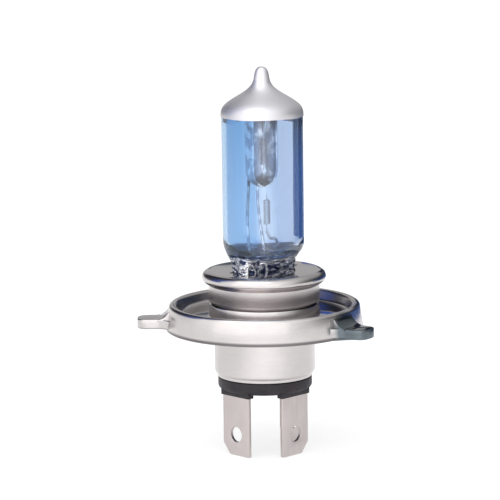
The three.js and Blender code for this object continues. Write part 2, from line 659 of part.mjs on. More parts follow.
const makeInsulator = () => {
  const path = new THREE.Path();
  path.moveTo(0, INSULATOR_BOTTOM);
  path.lineTo(INSULATOR_RADIUS - INSULATOR_EDGE, INSULATOR_BOTTOM);
  path.quadraticCurveTo(
    INSULATOR_RADIUS,
    INSULATOR_BOTTOM,
    INSULATOR_RADIUS,
    INSULATOR_BOTTOM + INSULATOR_EDGE,
  );
  path.lineTo(INSULATOR_RADIUS, INSULATOR_SHOULDER);
  path.lineTo(INSULATOR_GROOVE_RADIUS, INSULATOR_SHOULDER);
  path.lineTo(INSULATOR_GROOVE_RADIUS, INSULATOR_GROOVE_TOP);
  path.lineTo(INSULATOR_PLUG_RADIUS, SHELL_TAPER_TOP);
  path.lineTo(INSULATOR_PLUG_RADIUS, INSULATOR_PLUG_TOP);
  path.lineTo(0, INSULATOR_PLUG_TOP);
  const disc = revolve(path.getPoints(CURVE_STEPS));
  const inner = BLADE_OFFSET - BLADE_THICKNESS / 2;
  const outer = BLADE_OFFSET + BLADE_THICKNESS / 2;
  const halfBoss = BLADE_WIDTH / 2 + BOSS_OUTER_MARGIN;
  const halfBlade = BLADE_WIDTH / 2 + SLOT_GAP;
  const halfTang = TANG_WIDTH / 2 + SLOT_GAP;
  const bosses = BLADES.map(({ turn }) => {
    const boss = boxBetween(
      [inner - BOSS_INNER_MARGIN, -halfBoss, INSULATOR_BOTTOM - BOSS_DEPTH],
      [outer + BOSS_OUTER_MARGIN, halfBoss, INSULATOR_BOTTOM + BOSS_ROOT],
    );
    return turned(boss, turn);
  });
  const slots = BLADES.flatMap(({ turn }) => {
    const wide = boxBetween(
      [inner - SLOT_GAP, -halfBlade, INSULATOR_BOTTOM - BOSS_DEPTH - OVERSHOOT],
      [outer + SLOT_GAP, halfBlade, BLADE_SHOULDER + SLOT_GAP],
    );
    const narrow = boxBetween(
      [inner - SLOT_GAP, -halfTang, BLADE_SHOULDER],
      [outer + SLOT_GAP, halfTang, INSULATOR_PLUG_TOP + OVERSHOOT],
    );
    return [turned(wide, turn), turned(narrow, turn)];
  });
  addPart("insulator", cut(join(disc, bosses), slots), "ceramic");
};

// A blade that faces +X: its outline lies in the YZ plane, with one lower corner cut off.
const makeBlade = ({ name, turn, chamferSide }) => {
  const half = BLADE_WIDTH / 2;
  const rootBottom = INSULATOR_BOTTOM - BOSS_DEPTH - SLOT_GAP;
  const outline = new THREE.Shape();
  outline.moveTo(chamferSide * half, rootBottom);
  outline.lineTo(-chamferSide * half, rootBottom);
  outline.lineTo(-chamferSide * half, BLADE_BOTTOM + BLADE_CORNER);
  outline.lineTo(-chamferSide * (half - BLADE_CORNER), BLADE_BOTTOM);
  outline.lineTo(chamferSide * (half - BLADE_CHAMFER_WIDTH), BLADE_BOTTOM);
  outline.lineTo(chamferSide * half, BLADE_BOTTOM + BLADE_CHAMFER_HEIGHT);
  outline.closePath();
  const hole = new THREE.Path();
  hole.absarc(0, BLADE_HOLE_HEIGHT, BLADE_HOLE_RADIUS, 0, 2 * Math.PI, false);
  outline.holes.push(hole);
  const options = { depth: BLADE_THICKNESS, bevelEnabled: false, curveSegments: HOLE_SEGMENTS };
  const plate = new THREE.ExtrudeGeometry(outline, options)
    .translate(0, 0, BLADE_OFFSET - BLADE_THICKNESS / 2)
    .rotateX(Math.PI / 2)
    .rotateZ(Math.PI / 2);
  const rootHalf = BLADE_ROOT_THICKNESS / 2;
  const root = boxBetween(
    [BLADE_OFFSET - rootHalf, -half, rootBottom - JOIN_OVERLAP],
    [BLADE_OFFSET + rootHalf, half, BLADE_SHOULDER],
  );
  const tang = boxBetween(
    [BLADE_OFFSET - rootHalf, -TANG_WIDTH / 2, BLADE_SHOULDER - JOIN_OVERLAP],
    [BLADE_OFFSET + rootHalf, TANG_WIDTH / 2, TANG_TOP],
  );
  addPart(name, turned(join(plate, [root, tang]), turn), "terminal");
};

makeEnvelope();
makeTipCoating();
makeShield();
makeFilament("low_beam_filament", LOW_COIL_FOOT);
makeFilament("high_beam_filament", HIGH_COIL_FOOT);
makeSupports();
makeFoil("common_foil", -LEAD_SPACING);
makeFoil("low_beam_foil", 0);
makeFoil("high_beam_foil", LEAD_SPACING);
makeLead("common_lead", -LEAD_SPACING, -1, 0);
makeLead("low_beam_lead", 0, 0, -1);
makeLead("high_beam_lead", LEAD_SPACING, 1, 0);
makeSealClip();
makeFocusCap();
makeInnerSleeve();
makeFlangeRing();
makeBaseShell();
makeInsulator();
BLADES.forEach(makeBlade);

export default group;
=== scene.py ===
import math

import bmesh
import bpy
from mathutils import Matrix, Vector, noise


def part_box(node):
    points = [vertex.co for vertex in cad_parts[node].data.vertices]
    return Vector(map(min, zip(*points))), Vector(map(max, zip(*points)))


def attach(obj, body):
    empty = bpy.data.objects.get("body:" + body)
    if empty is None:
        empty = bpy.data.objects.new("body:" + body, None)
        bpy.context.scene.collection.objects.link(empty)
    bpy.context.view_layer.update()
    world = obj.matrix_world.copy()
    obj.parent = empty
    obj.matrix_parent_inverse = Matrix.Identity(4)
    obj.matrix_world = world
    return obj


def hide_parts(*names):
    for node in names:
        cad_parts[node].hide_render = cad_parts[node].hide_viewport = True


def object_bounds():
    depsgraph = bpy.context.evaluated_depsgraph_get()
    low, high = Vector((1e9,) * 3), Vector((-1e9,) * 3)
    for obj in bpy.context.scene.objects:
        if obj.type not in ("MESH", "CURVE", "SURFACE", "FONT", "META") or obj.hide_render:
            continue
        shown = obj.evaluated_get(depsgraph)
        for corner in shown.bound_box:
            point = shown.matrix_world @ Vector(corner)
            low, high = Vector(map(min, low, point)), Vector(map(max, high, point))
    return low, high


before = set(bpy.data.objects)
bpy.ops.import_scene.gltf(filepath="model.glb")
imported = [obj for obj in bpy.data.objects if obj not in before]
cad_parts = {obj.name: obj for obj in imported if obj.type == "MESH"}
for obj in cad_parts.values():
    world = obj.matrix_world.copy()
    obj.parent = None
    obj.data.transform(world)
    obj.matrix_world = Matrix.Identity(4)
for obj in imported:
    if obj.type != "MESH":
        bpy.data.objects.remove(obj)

MM = 0.001
CAD_BOX = [list(corner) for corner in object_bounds()]


def node_box(node):
    """Lowest and highest corner of a CAD node, in millimetres."""
    low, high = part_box(node)
    return low / MM, high / MM


GLASS_LOW, GLASS_HIGH = node_box("glass_envelope")
CAP_LOW, CAP_HIGH = node_box("focus_cap")
RING_HIGH = node_box("flange_ring")[1]
SHELL_LOW, SHELL_HIGH = node_box("base_shell")
SLEEVE_LOW = node_box("inner_sleeve")[0]
CLIP_LOW, CLIP_HIGH = node_box("seal_clip")
BLACK_LOW, BLACK_HIGH = node_box("insulator")
BLADE_LOW, BLADE_HIGH = node_box("high_beam_blade")
SHIELD_LOW, SHIELD_HIGH = node_box("beam_shield")
COAT_LOW = node_box("tip_coating")[0]
FOIL_HIGH = node_box("common_foil")[1]


# ---------------------------------------------------------------- materials

def node_tree(name):
    material = bpy.data.materials.new(name)
    material.use_nodes = True
    tree = material.node_tree
    shader = tree.nodes["Principled BSDF"]
    return material, tree, shader


def add(tree, kind, inputs=None, **settings):
    node = tree.nodes.new(kind)
    for key, value in settings.items():
        setattr(node, key, value)
    for key, value in (inputs or {}).items():
        if isinstance(value, bpy.types.NodeSocket):
            tree.links.new(value, node.inputs[key])
        else:
            node.inputs[key].default_value = value
    return node


def pattern(tree, scale, stretch=(1, 1, 1), detail=4.0, roughness=0.55, distortion=0.0):
    """Noise in the piece's own coordinates, stretched along the axes; scale is in features per metre."""
    place = add(tree, "ShaderNodeTexCoord")
    mapping = add(tree, "ShaderNodeMapping", {"Vector": place.outputs["Object"], "Scale": stretch})
    made = add(
        tree,
        "ShaderNodeTexNoise",
        {
            "Vector": mapping.outputs["Vector"],
            "Scale": scale,
            "Detail": detail,
            "Roughness": roughness,
            "Distortion": distortion,
        },
    )
    return made.outputs["Fac"]


def between(tree, value, low, high, from_low=0.3, from_high=0.7):
    node = add(
        tree,
        "ShaderNodeMapRange",
        {"Value": value, "From Min": from_low, "From Max": from_high, "To Min": low, "To Max": high},
    )
    return node.outputs["Result"]


def mixed(tree, factor, first, second):
    node = add(tree, "ShaderNodeMix", data_type="RGBA")
    for socket, value in ((node.inputs[6], first), (node.inputs[7], second)):
        if isinstance(value, bpy.types.NodeSocket):
            tree.links.new(value, socket)
        else:
            socket.default_value = (*value, 1)
    tree.links.new(factor, node.inputs[0])
    return node.outputs[2]


def bump(tree, height, strength, distance, normal=None):
    inputs = {"Height": height, "Strength": strength, "Distance": distance}
    if normal is not None:
        inputs["Normal"] = normal
    return add(tree, "ShaderNodeBump", inputs).outputs["Normal"]


# Soft blotches of tone on sheet metal, in features per metre.
BLOTCHES = 90.0


def metal(name, light, dark, rough, grain, stretch, grain_bump=0.15):
    """Metal with fine drawn grain, soft blotches of tone and a worn spread of roughness."""
    material, tree, shader = node_tree(name)
    fine = pattern(tree, grain, stretch, detail=6.0)
    soft = pattern(tree, BLOTCHES, detail=3.0)
    tone = mixed(tree, between(tree, soft, 0.0, 1.0), light, dark)
    tree.links.new(mixed(tree, between(tree, fine, 0.0, 0.35), tone, dark), shader.inputs["Base Color"])
    spread = add(tree, "ShaderNodeMath", {0: fine, 1: soft}, operation="ADD").outputs[0]
    tree.links.new(between(tree, spread, rough[0], rough[1], 0.8, 1.2), shader.inputs["Roughness"])
    tree.links.new(bump(tree, fine, grain_bump, 0.00002), shader.inputs["Normal"])
    shader.inputs["Metallic"].default_value = 1.0
    return material


# Middle of the front lug's painted dark reflection, in metres.
PAINTED_LUG_REFLECTION = (0.0038, -0.0240, -0.0005)


def steel_material():
    """Stamped steel: level faces polished, drawn walls satin, with painted shade along the band's lower rim
    and a painted dark reflection on the front lug.
    """
    material, tree, shader = node_tree("stamped_steel")
    place = add(tree, "ShaderNodeTexCoord")
    fine = pattern(tree, 1500, (0.25, 0.25, 1), detail=6.0)
    soft = pattern(tree, BLOTCHES, detail=3.0)
    tone = mixed(tree, between(tree, soft, 0.0, 1.0), (0.63, 0.595, 0.59), (0.55, 0.52, 0.515))
    tone = mixed(tree, between(tree, fine, 0.0, 0.35), tone, (0.50, 0.47, 0.47))
    spot = add(tree, "ShaderNodeSeparateXYZ", {0: place.outputs["Object"]}).outputs
    level = add(tree, "ShaderNodeCombineXYZ", {0: spot["X"], 1: spot["Y"]}).outputs[0]
    radius = add(tree, "ShaderNodeVectorMath", {0: level}, operation="LENGTH").outputs["Value"]
    # Painted shade: the band's lower edge below the flange is painted dark, where shade falls under the
    # ring.
    outer = between(tree, radius, 0.0, 1.0, 0.0165, 0.0175)
    low = between(tree, spot["Z"], 1.0, 0.0, -0.0021, -0.0017)
    rim = add(tree, "ShaderNodeMath", {0: outer, 1: low}, operation="MULTIPLY").outputs[0]
    tone = mixed(tree, rim, tone, (0.17, 0.155, 0.16))
    # Painted dark reflection: the front lug is painted darker and greener than the other steel.
    from_lug = add(
        tree, "ShaderNodeVectorMath", {0: place.outputs["Object"], 1: PAINTED_LUG_REFLECTION}, operation="DISTANCE"
    ).outputs["Value"]
    lug = between(tree, from_lug, 1.0, 0.0, 0.0042, 0.0056)
    tree.links.new(mixed(tree, lug, tone, (0.13, 0.155, 0.17)), shader.inputs["Base Color"])
    facing = add(tree, "ShaderNodeSeparateXYZ", {0: place.outputs["Normal"]}).outputs["Z"]
    satin = add(tree, "ShaderNodeMath", {0: soft, 1: 0.08, 2: 0.21}, operation="MULTIPLY_ADD").outputs[0]
    polish = between(tree, facing, 0.0, 0.2, 0.75, 0.97)
    smooth = add(tree, "ShaderNodeMath", {0: satin, 1: polish}, operation="SUBTRACT", use_clamp=True)
    tree.links.new(smooth.outputs[0], shader.inputs["Roughness"])
    tree.links.new(bump(tree, fine, 0.06, 0.00002), shader.inputs["Normal"])
    shader.inputs["Metallic"].default_value = 1.0
    return material


def molybdenum_material():
    """Bright formed sheet and wire, darker in patches near the shield's ends."""
    material, tree, shader = node_tree("molybdenum_sheet")
    place = add(tree, "ShaderNodeTexCoord")
    fine = pattern(tree, 900, (1, 1, 0.3), detail=6.0)
    soft = pattern(tree, 380.0, detail=3.0)
    tone = mixed(tree, between(tree, soft, 0.0, 1.0, 0.46, 0.54), (1.0, 1.0, 1.0), (0.45, 0.48, 0.57))
    height = add(tree, "ShaderNodeSeparateXYZ", {0: place.outputs["Object"]}).outputs["Z"]
    low, high = SHIELD_LOW.z * MM, SHIELD_HIGH.z * MM
    above_foot = between(tree, height, 0.0, 1.0, low - 0.0003, low)
    below_knee = between(tree, height, 1.0, 0.0, low + 0.0010, low + 0.0024)
    foot = add(tree, "ShaderNodeMath", {0: above_foot, 1: below_knee}, operation="MULTIPLY").outputs[0]
    head = between(tree, height, 0.0, 1.0, high - 0.0035, high - 0.0008)
    ends = add(tree, "ShaderNodeMath", {0: foot, 1: head}, operation="MAXIMUM").outputs[0]
    dark_patches = between(tree, soft, 0.0, 1.0, 0.44, 0.50)
    darkened_ends = add(tree, "ShaderNodeMath", {0: ends, 1: dark_patches}, operation="MULTIPLY").outputs[0]
    tree.links.new(mixed(tree, darkened_ends, tone, (0.05, 0.05, 0.08)), shader.inputs["Base Color"])
    tree.links.new(between(tree, fine, 0.06, 0.22), shader.inputs["Roughness"])
    waves = bump(tree, soft, 0.5, 0.0004)
    tree.links.new(bump(tree, fine, 0.5, 0.00002, waves), shader.inputs["Normal"])
    shader.inputs["Metallic"].default_value = 0.65
    return material


def glass_material():
    """Quartz with a blue film on the tube, a painted highlight down its front wall, and creased clear glass
    with painted dark reflections at the pressed foot.
    """
    material, tree, shader = node_tree("blue_quartz")
    shader.inputs["Transmission Weight"].default_value = 0.975
    shader.inputs["IOR"].default_value = 1.46
    shader.inputs["Roughness"].default_value = 0.01
    place = add(tree, "ShaderNodeTexCoord").outputs["Object"]
    height = add(tree, "ShaderNodeSeparateXYZ", {0: place}).outputs["Z"]
    # The film thins from one side of the tube to the other and deepens towards the tip.
    across = add(
        tree, "ShaderNodeVectorMath", {0: place, 1: (0.7071, -0.7071, 0)}, operation="DOT_PRODUCT"
    )
    streaks = pattern(tree, 260.0, (1, 1, 0.12), detail=3.0)
    shift = add(
        tree,
        "ShaderNodeMath",
        {0: streaks, 1: 0.004, 2: across.outputs["Value"]},
        operation="MULTIPLY_ADD",
    )
    thinning = between(tree, shift.outputs[0], 0.0, 1.0, -0.001, 0.006)
    upward = between(tree, height, 0.0, 1.0, 22 * MM, 44 * MM)
    deep = mixed(tree, upward, (0.46, 0.64, 0.84), (0.35, 0.55, 0.77))
    film = mixed(tree, thinning, deep, (0.60, 0.69, 0.83))
    # Painted highlight: a paler band down the front wall stands in for a lamp's reflection.
    front = add(tree, "ShaderNodeVectorMath", {0: place, 1: (-0.7071, -0.7071, 0)}, operation="DOT_PRODUCT")
    on_front = between(tree, front.outputs["Value"], 0.0, 1.0, 0.003, 0.007)
    aside = add(tree, "ShaderNodeMath", {0: shift.outputs[0], 1: 0.0026}, operation="SUBTRACT").outputs[0]
    aside = add(tree, "ShaderNodeMath", {0: aside}, operation="ABSOLUTE").outputs[0]
    highlight_band = between(tree, aside, 1.0, 0.0, 0.0006, 0.0022)
    painted_front_highlight = add(tree, "ShaderNodeMath", {0: highlight_band, 1: on_front}, operation="MULTIPLY").outputs[0]
    film = mixed(tree, painted_front_highlight, film, (0.84, 0.88, 0.95))
    edge_on = add(tree, "ShaderNodeLayerWeight", {"Blend": 0.5}).outputs["Facing"]
    film = mixed(tree, between(tree, edge_on, 0.0, 1.0, 0.6, 0.95), film, (0.22, 0.42, 0.72))
    # Smoky waves where the tube closes in. In the pressed foot, the creases get painted dark reflections in
    # navy, and mirror patches stand in for the glass's inner reflections.
    waves = pattern(tree, 150.0, (1, 1, 3.0), detail=2.0, distortion=1.0)
    wavy = between(tree, waves, 0.0, 1.0, 0.42, 0.58)
    smoky = mixed(tree, wavy, (0.15, 0.27, 0.54), (0.50, 0.65, 0.94))
    film = mixed(tree, between(tree, height, 0.0, 1.0, 14.4 * MM, 15.6 * MM), smoky, film)
    foot = between(tree, height, 0.0, 1.0, 13.4 * MM, 14.4 * MM)
    creases = pattern(tree, 250.0, (1, 1, 2.0), detail=3.5, roughness=0.6, distortion=3.0)
    creased = between(tree, creases, 0.0, 1.0, 0.46, 0.52)
    # Painted dark reflection: navy creases in the clear pressed foot.
    pressed = mixed(tree, creased, (0.02, 0.04, 0.14), (0.97, 0.98, 1.0))
    tree.links.new(mixed(tree, foot, pressed, film), shader.inputs["Base Color"])
    below = add(tree, "ShaderNodeMath", {0: 1.0, 1: foot}, operation="SUBTRACT").outputs[0]
    mirror_patches = between(tree, pattern(tree, 300.0, (1, 1, 1.6), detail=2.0), 0.35, 0.95, 0.40, 0.52)
    mirror = add(tree, "ShaderNodeMath", {0: below, 1: mirror_patches}, operation="MULTIPLY").outputs[0]
    tree.links.new(mirror, shader.inputs["Metallic"])
    ripples = pattern(tree, 180.0, (1, 1, 0.3), detail=2.0)
    rough_foot = add(tree, "ShaderNodeMath", {0: foot, 1: creases}, operation="MAXIMUM").outputs[0]
    gentle = bump(tree, ripples, 0.12, 0.0001)
    tree.links.new(bump(tree, rough_foot, 0.9, 0.0012, gentle), shader.inputs["Normal"])
    shade = add(tree, "ShaderNodeBsdfTransparent", {"Color": (0.88, 0.93, 0.99, 1)})
    light_path = add(tree, "ShaderNodeLightPath")
    blend = add(
        tree,
        "ShaderNodeMixShader",
        {0: light_path.outputs["Is Shadow Ray"], 1: shader.outputs[0], 2: shade.outputs[0]},
    )
    tree.links.new(blend.outputs[0], tree.nodes["Material Output"].inputs["Surface"])
    return material


def coating_material():
    """Satin silver coat: paler towards the drawn tip, with a fine sprayed grain."""
    material, tree, shader = node_tree("silver_coat")
    place = add(tree, "ShaderNodeTexCoord")
    height = add(tree, "ShaderNodeSeparateXYZ", {0: place.outputs["Object"]}).outputs["Z"]
    up = between(tree, height, 0.0, 1.0, 44 * MM, 54 * MM)
    grain = pattern(tree, 2600.0, detail=5.0)
    cloud = pattern(tree, 210.0, detail=3.0)
    body = mixed(tree, up, (0.67, 0.655, 0.68), (0.77, 0.76, 0.79))
    body = mixed(tree, between(tree, cloud, 0.0, 0.5), body, (0.64, 0.63, 0.66))
    tree.links.new(body, shader.inputs["Base Color"])
    tree.links.new(between(tree, grain, 0.40, 0.52), shader.inputs["Roughness"])
    tree.links.new(bump(tree, grain, 0.25, 0.00002), shader.inputs["Normal"])
    shader.inputs["Metallic"].default_value = 0.85
    return material


def ceramic_material():
    """Black moulded insulator: fine pits and a dusty bloom."""
    material, tree, shader = node_tree("black_insulator")
    pits = pattern(tree, 2400.0, detail=6.0, roughness=0.7)
    dust = pattern(tree, 240.0, detail=4.0)
    tone = mixed(tree, between(tree, dust, 0.0, 1.0), (0.010, 0.008, 0.012), (0.026, 0.020, 0.026))
    tree.links.new(tone, shader.inputs["Base Color"])
    tree.links.new(between(tree, pits, 0.38, 0.6), shader.inputs["Roughness"])
    tree.links.new(bump(tree, pits, 0.35, 0.00003), shader.inputs["Normal"])
    shader.inputs["Specular IOR Level"].default_value = 0.35
    return material


MATERIALS = {
    "blue_glass": glass_material(),
    "silver_coating": coating_material(),
    "tungsten": metal(
        "tungsten_wire", (0.66, 0.66, 0.70), (0.42, 0.42, 0.45), (0.25, 0.4), 5000, (1, 1, 1)
    ),
    "molybdenum": molybdenum_material(),
    "nickel_wire": metal(
        "nickel_wire", (0.76, 0.75, 0.72), (0.55, 0.54, 0.52), (0.2, 0.36), 2600, (1, 1, 0.2)
    ),
    "bright_steel": steel_material(),
    "black_ceramic": ceramic_material(),
    "tinned_blade": metal(
        "tinned_terminal",
        (0.60, 0.545, 0.525),
        (0.52, 0.475, 0.465),
        (0.28, 0.44),
        1700,
        (1, 1, 0.08),
        grain_bump=0.25,
    ),
}


# ---------------------------------------------------------------- mesh tools

# Facets round a sheet's edge, and how a wire's end draws in, in its radii.
EDGE_STEPS = 4
END_SHRINK, END_REACH = 0.7, 0.12

def publish(name, mesh, slot, nodes=None, sharp_angle=38):
    """Shows a mesh as the piece that stands for CAD nodes, with its slot's material, riding on the body."""
    mesh.materials.clear()
    mesh.materials.append(MATERIALS[slot])
    mesh.polygons.foreach_set("use_smooth", [True] * len(mesh.polygons))
    mesh.set_sharp_from_angle(angle=math.radians(sharp_angle))
    piece = bpy.data.objects.new(name, mesh)
    bpy.context.scene.collection.objects.link(piece)
    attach(piece, "root")
    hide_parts(*(nodes or [name.removesuffix("_fine")]))
    return piece


def to_mesh(bm, name="part"):
    bmesh.ops.recalc_face_normals(bm, faces=bm.faces)
    mesh = bpy.data.meshes.new(name)
    bm.to_mesh(mesh)
    bm.free()
    return mesh


def loft(rings, closed_path=False):
    """A bmesh through rings of points; a ring of one point is a pole."""
    bm = bmesh.new()
    made = [[bm.verts.new(Vector(point) * MM) for point in ring] for ring in rings]
    pairs = list(zip(made, made[1:] + (made[:1] if closed_path else [])))
    for low, high in pairs:
        count = max(len(low), len(high))
        for i in range(count):
            j = (i + 1) % count
            if len(low) == 1 and len(high) == 1:
                continue
            if len(low) == 1:
                bm.faces.new((low[0], high[j], high[i]))
            elif len(high) == 1:
                bm.faces.new((low[i], low[j], high[0]))
            else:
                bm.faces.new((low[i], low[j], high[j], high[i]))
    if not closed_path:
        for ring in (made[0], made[-1]):
            if len(ring) > 2:
                bm.faces.new(ring)
    return bm


def lerp(a, b, t):
    return a + (b - a) * t


def circle(radius, height, segments):
    if radius < 1e-5:
        return [(0, 0, height)]
    turn = 2 * math.pi / segments
    return [(radius * math.cos(i * turn), radius * math.sin(i * turn), height) for i in range(segments)]


def squared_ring(z, a, b, power, wave=0.0, segments=128):
    """Level ring with half sizes a and b; power 2 is round, more is squarer. A wave dents it inwards."""
    ring = []
    for i in range(segments):
        angle = 2 * math.pi * i / segments
        c, s = math.cos(angle), math.sin(angle)
        x = a * math.copysign(abs(c) ** (2 / power), c)
        y = b * math.copysign(abs(s) ** (2 / power), s)
        ridge = 1 - 2 * abs(noise.noise(Vector((x * 0.5, y * 0.5, z * 0.6)))) if wave else 1.0
        dent = 1 - wave * (1 - max(0.0, ridge))
        ring.append((x * lerp(1.0, dent, 0.3), y * dent, z))
    return ring


def revolve(outline, segments=144):
    """A bmesh of revolution about Z from a closed outline of (radius, height)."""
    return loft([circle(r, z, segments) for r, z in outline], closed_path=True)


def bezier(start, a, b, end, steps=12):
    points = []
    for i in range(1, steps + 1):
        t = i / steps
        weights = ((1 - t) ** 3, 3 * t * (1 - t) ** 2, 3 * t * t * (1 - t), t**3)
        points.append(tuple(sum(w * p[k] for w, p in zip(weights, (start, a, b, end))) for k in (0, 1)))
    return points


def rounded(corners, steps=6):
    """A line through (x, y, round) corners, each corner rounded to its radius."""
    line = []
    for i, (x, y, radius) in enumerate(corners):
        here = Vector((x, y))
        if radius <= 0 or i in (0, len(corners) - 1):
            line.append(tuple(here))
            continue
        back = Vector(corners[i - 1][:2]) - here
        ahead = Vector(corners[i + 1][:2]) - here
        half = back.angle(ahead) / 2
        reach = min(radius / math.tan(half), 0.49 * back.length, 0.49 * ahead.length)
        start, end = here + back.normalized() * reach, here + ahead.normalized() * reach
        centre = here + (back.normalized() + ahead.normalized()).normalized() * reach / math.cos(half)
        first, last = start - centre, end - centre
        for k in range(steps + 1):
            line.append(tuple(centre + first.slerp(last, k / steps) * first.length))
    return line


def offset(line, distance):
    """The line moved sideways, to the right of its direction."""
    moved = []
    for i, point in enumerate(line):
        here = Vector(point)
        sides = []
        for a, b in ((i - 1, i), (i, i + 1)):
            if 0 <= a and b < len(line):
                along = Vector(line[b]) - Vector(line[a])
                if along.length > 1e-9:
                    along.normalize()
                    sides.append(Vector((along.y, -along.x)))
        normal = sum(sides, Vector((0, 0)))
        normal.normalize()
        stretch = 1 / max(normal.dot(sides[0]), 0.5)
        moved.append(tuple(here + normal * distance * stretch))
    return moved


def sheet(line, thickness, to_axis=False):
    """Closed outline of sheet metal about a middle line, with rounded edges; to_axis keeps its end flat."""
    half = thickness / 2
    line = [Vector(point) for point in line]
    line[0] = line[0] + (line[1] - line[0]).normalized() * half
    if not to_axis:
        line[-1] = line[-1] + (line[-2] - line[-1]).normalized() * half
    right, left = offset(line, half), offset(line, -half)

    def round_end(centre, before):
        along = (centre - before).normalized()
        across = Vector((along.y, -along.x))
        angles = [math.pi * k / EDGE_STEPS for k in range(1, EDGE_STEPS)]
        return [tuple(centre + half * (across * math.cos(a) + along * math.sin(a))) for a in angles]

    far = [] if to_axis else round_end(line[-1], line[-2])
    return [*right, *far, *reversed(left), *round_end(line[0], line[1])]


def smooth_path(points, steps):
    """A curve through points that keeps close to them: centripetal Catmull-Rom."""
    knots = [Vector(p) for p in points]
    knots = [knots[0] * 2 - knots[1], *knots, knots[-1] * 2 - knots[-2]]
    path = []
    for i in range(1, len(knots) - 2):
        four = knots[i - 1:i + 3]
        times = [0.0]
        for a, b in zip(four, four[1:]):
            times.append(times[-1] + math.sqrt((b - a).length))
        for k in range(steps):
            t = lerp(times[1], times[2], k / steps)
            level = list(four)
            for reach in (1, 2):
                level = [
                    lerp(level[j], level[j + 1], (t - times[j]) / (times[j + reach] - times[j]))
                    for j in range(len(level) - 1)
                ]
            path.append(lerp(level[0], level[1], (t - times[1]) / (times[2] - times[1])))
    path.append(knots[-2])
    return path


def tube_rings(points, radius, sides=12, steps=10):
    """Rings of a round wire along a smooth curve through points, with rounded ends."""
    path = smooth_path(points, steps)
    last = len(path) - 1
    tangents = [(path[min(i + 1, last)] - path[max(i - 1, 0)]).normalized() for i in range(len(path))]
    side = tangents[0].orthogonal().normalized()
    rings = []
    for i, (centre, along) in enumerate(zip(path, tangents)):
        if i:
            side = tangents[i - 1].rotation_difference(along) @ side
            side = (side - along * side.dot(along)).normalized()
        other = along.cross(side)
        angles = [2 * math.pi * k / sides for k in range(sides)]
        rings.append([centre + radius * (side * math.cos(a) + other * math.sin(a)) for a in angles])
    ends = []
    for ring, centre, outward in ((rings[0], path[0], -tangents[0]), (rings[-1], path[-1], tangents[-1])):
        ends.append([centre + (p - centre) * END_SHRINK + outward * radius * END_REACH for p in ring])
    return [ends[0], *rings, ends[1]]


def tube(points, radius, **options):
    return to_mesh(loft(tube_rings(points, radius, **options)))


def joined(meshes):
    """Several meshes in one."""
    bm = bmesh.new()
    for mesh in meshes:
        bm.from_mesh(mesh)
    made = bpy.data.meshes.new("part")
    bm.to_mesh(made)
    bm.free()
    return made


def boolean(mesh, tools, operation):
    """The mesh with each tool mesh added to it or cut from it."""
    scene = bpy.context.scene
    base = bpy.data.objects.new("base", mesh)
    scene.collection.objects.link(base)
    for tool in tools:
        other = bpy.data.objects.new("tool", tool)
        scene.collection.objects.link(other)
        step = base.modifiers.new("step", "BOOLEAN")
        step.operation, step.solver, step.object = operation, "EXACT", other
        made = bpy.data.meshes.new_from_object(base.evaluated_get(bpy.context.evaluated_depsgraph_get()))
        base.modifiers.clear()
        base.data = made
        bpy.data.objects.remove(other)
    made = base.data
    bpy.data.objects.remove(base)
    return made


def plate(outline, holes, bottom, top, edge):
    """A flat plate with rounded edges, from an outline and holes in the XY plane."""
    curve = bpy.data.curves.new("plate", "CURVE")
    curve.dimensions, curve.fill_mode = "2D", "BOTH"
    for loop in (outline, *holes):
        spline = curve.splines.new("POLY")
        spline.points.add(len(loop) - 1)
        for point, (x, y) in zip(spline.points, loop):
            point.co = (x * MM, y * MM, 0, 1)
        spline.use_cyclic_u = True
    curve.extrude = ((top - bottom) / 2 - edge) * MM
    curve.bevel_depth, curve.bevel_resolution, curve.offset = edge * MM, 2, -edge * MM
    holder = bpy.data.objects.new("plate", curve)
    bpy.context.scene.collection.objects.link(holder)
    mesh = bpy.data.meshes.new_from_object(holder.evaluated_get(bpy.context.evaluated_depsgraph_get()))
    bpy.data.objects.remove(holder)
    bm = bmesh.new()
    bm.from_mesh(mesh)
    bmesh.ops.remove_doubles(bm, verts=bm.verts, dist=1e-7)
    bmesh.ops.translate(bm, verts=bm.verts, vec=(0, 0, (top + bottom) / 2 * MM))
    return to_mesh(bm)


def box(low, high, edge=0.0):
    bm = bmesh.new()
    bmesh.ops.create_cube(bm, size=1.0)
    for vert in bm.verts:
        vert.co = Vector(
            (low[k] + high[k]) / 2 + vert.co[k] * (high[k] - low[k]) for k in range(3)
        ) * MM
    if edge:
        bmesh.ops.bevel(bm, geom=bm.edges, offset=edge * MM, segments=3, profile=0.5, affect="EDGES")
    return to_mesh(bm)


def turned(mesh, degrees):
    mesh.transform(Matrix.Rotation(math.radians(degrees), 4, "Z"))
    return mesh


def ring_points(radius, centre, count):
    x, y = centre
    turn = 2 * math.pi / count
    return [(x + radius * math.cos(i * turn), y + radius * math.sin(i * turn)) for i in range(count)]


# ---------------------------------------------------------------- glass and coating

GLASS_RADIUS = GLASS_HIGH.x
GLASS_WALL = 1.0
SHOULDER = 44.6
PINCH_HALF_WIDTH, PINCH_HALF_THICKNESS, PINCH_POWER = 8.3, 2.3, 8.0
PINCH_TOP, TUBE_START = 12.2, 16.7
HOLLOW_FLOOR, HOLLOW_ROUND_TOP = 13.4, 17.6
GLASS_SEGMENTS = 128
TIP = GLASS_HIGH.z


def crown():
    """Outline (radius, height) from the shoulder over the crown to the drawn-off tip."""
    line = [(GLASS_RADIUS, COAT_LOW.z), (GLASS_RADIUS, SHOULDER)]
    for a, b, end in (
        ((GLASS_RADIUS, 46.2), (7.8, 47.0), (5.55, 48.35)),
        ((3.6, 49.5), (2.2, 50.3), (1.7, 51.9)),
        ((1.4, 53.2), (1.5, TIP), (0.0, TIP)),
    ):
        line.extend(bezier(line[-1], a, b, end, 14))
    return line


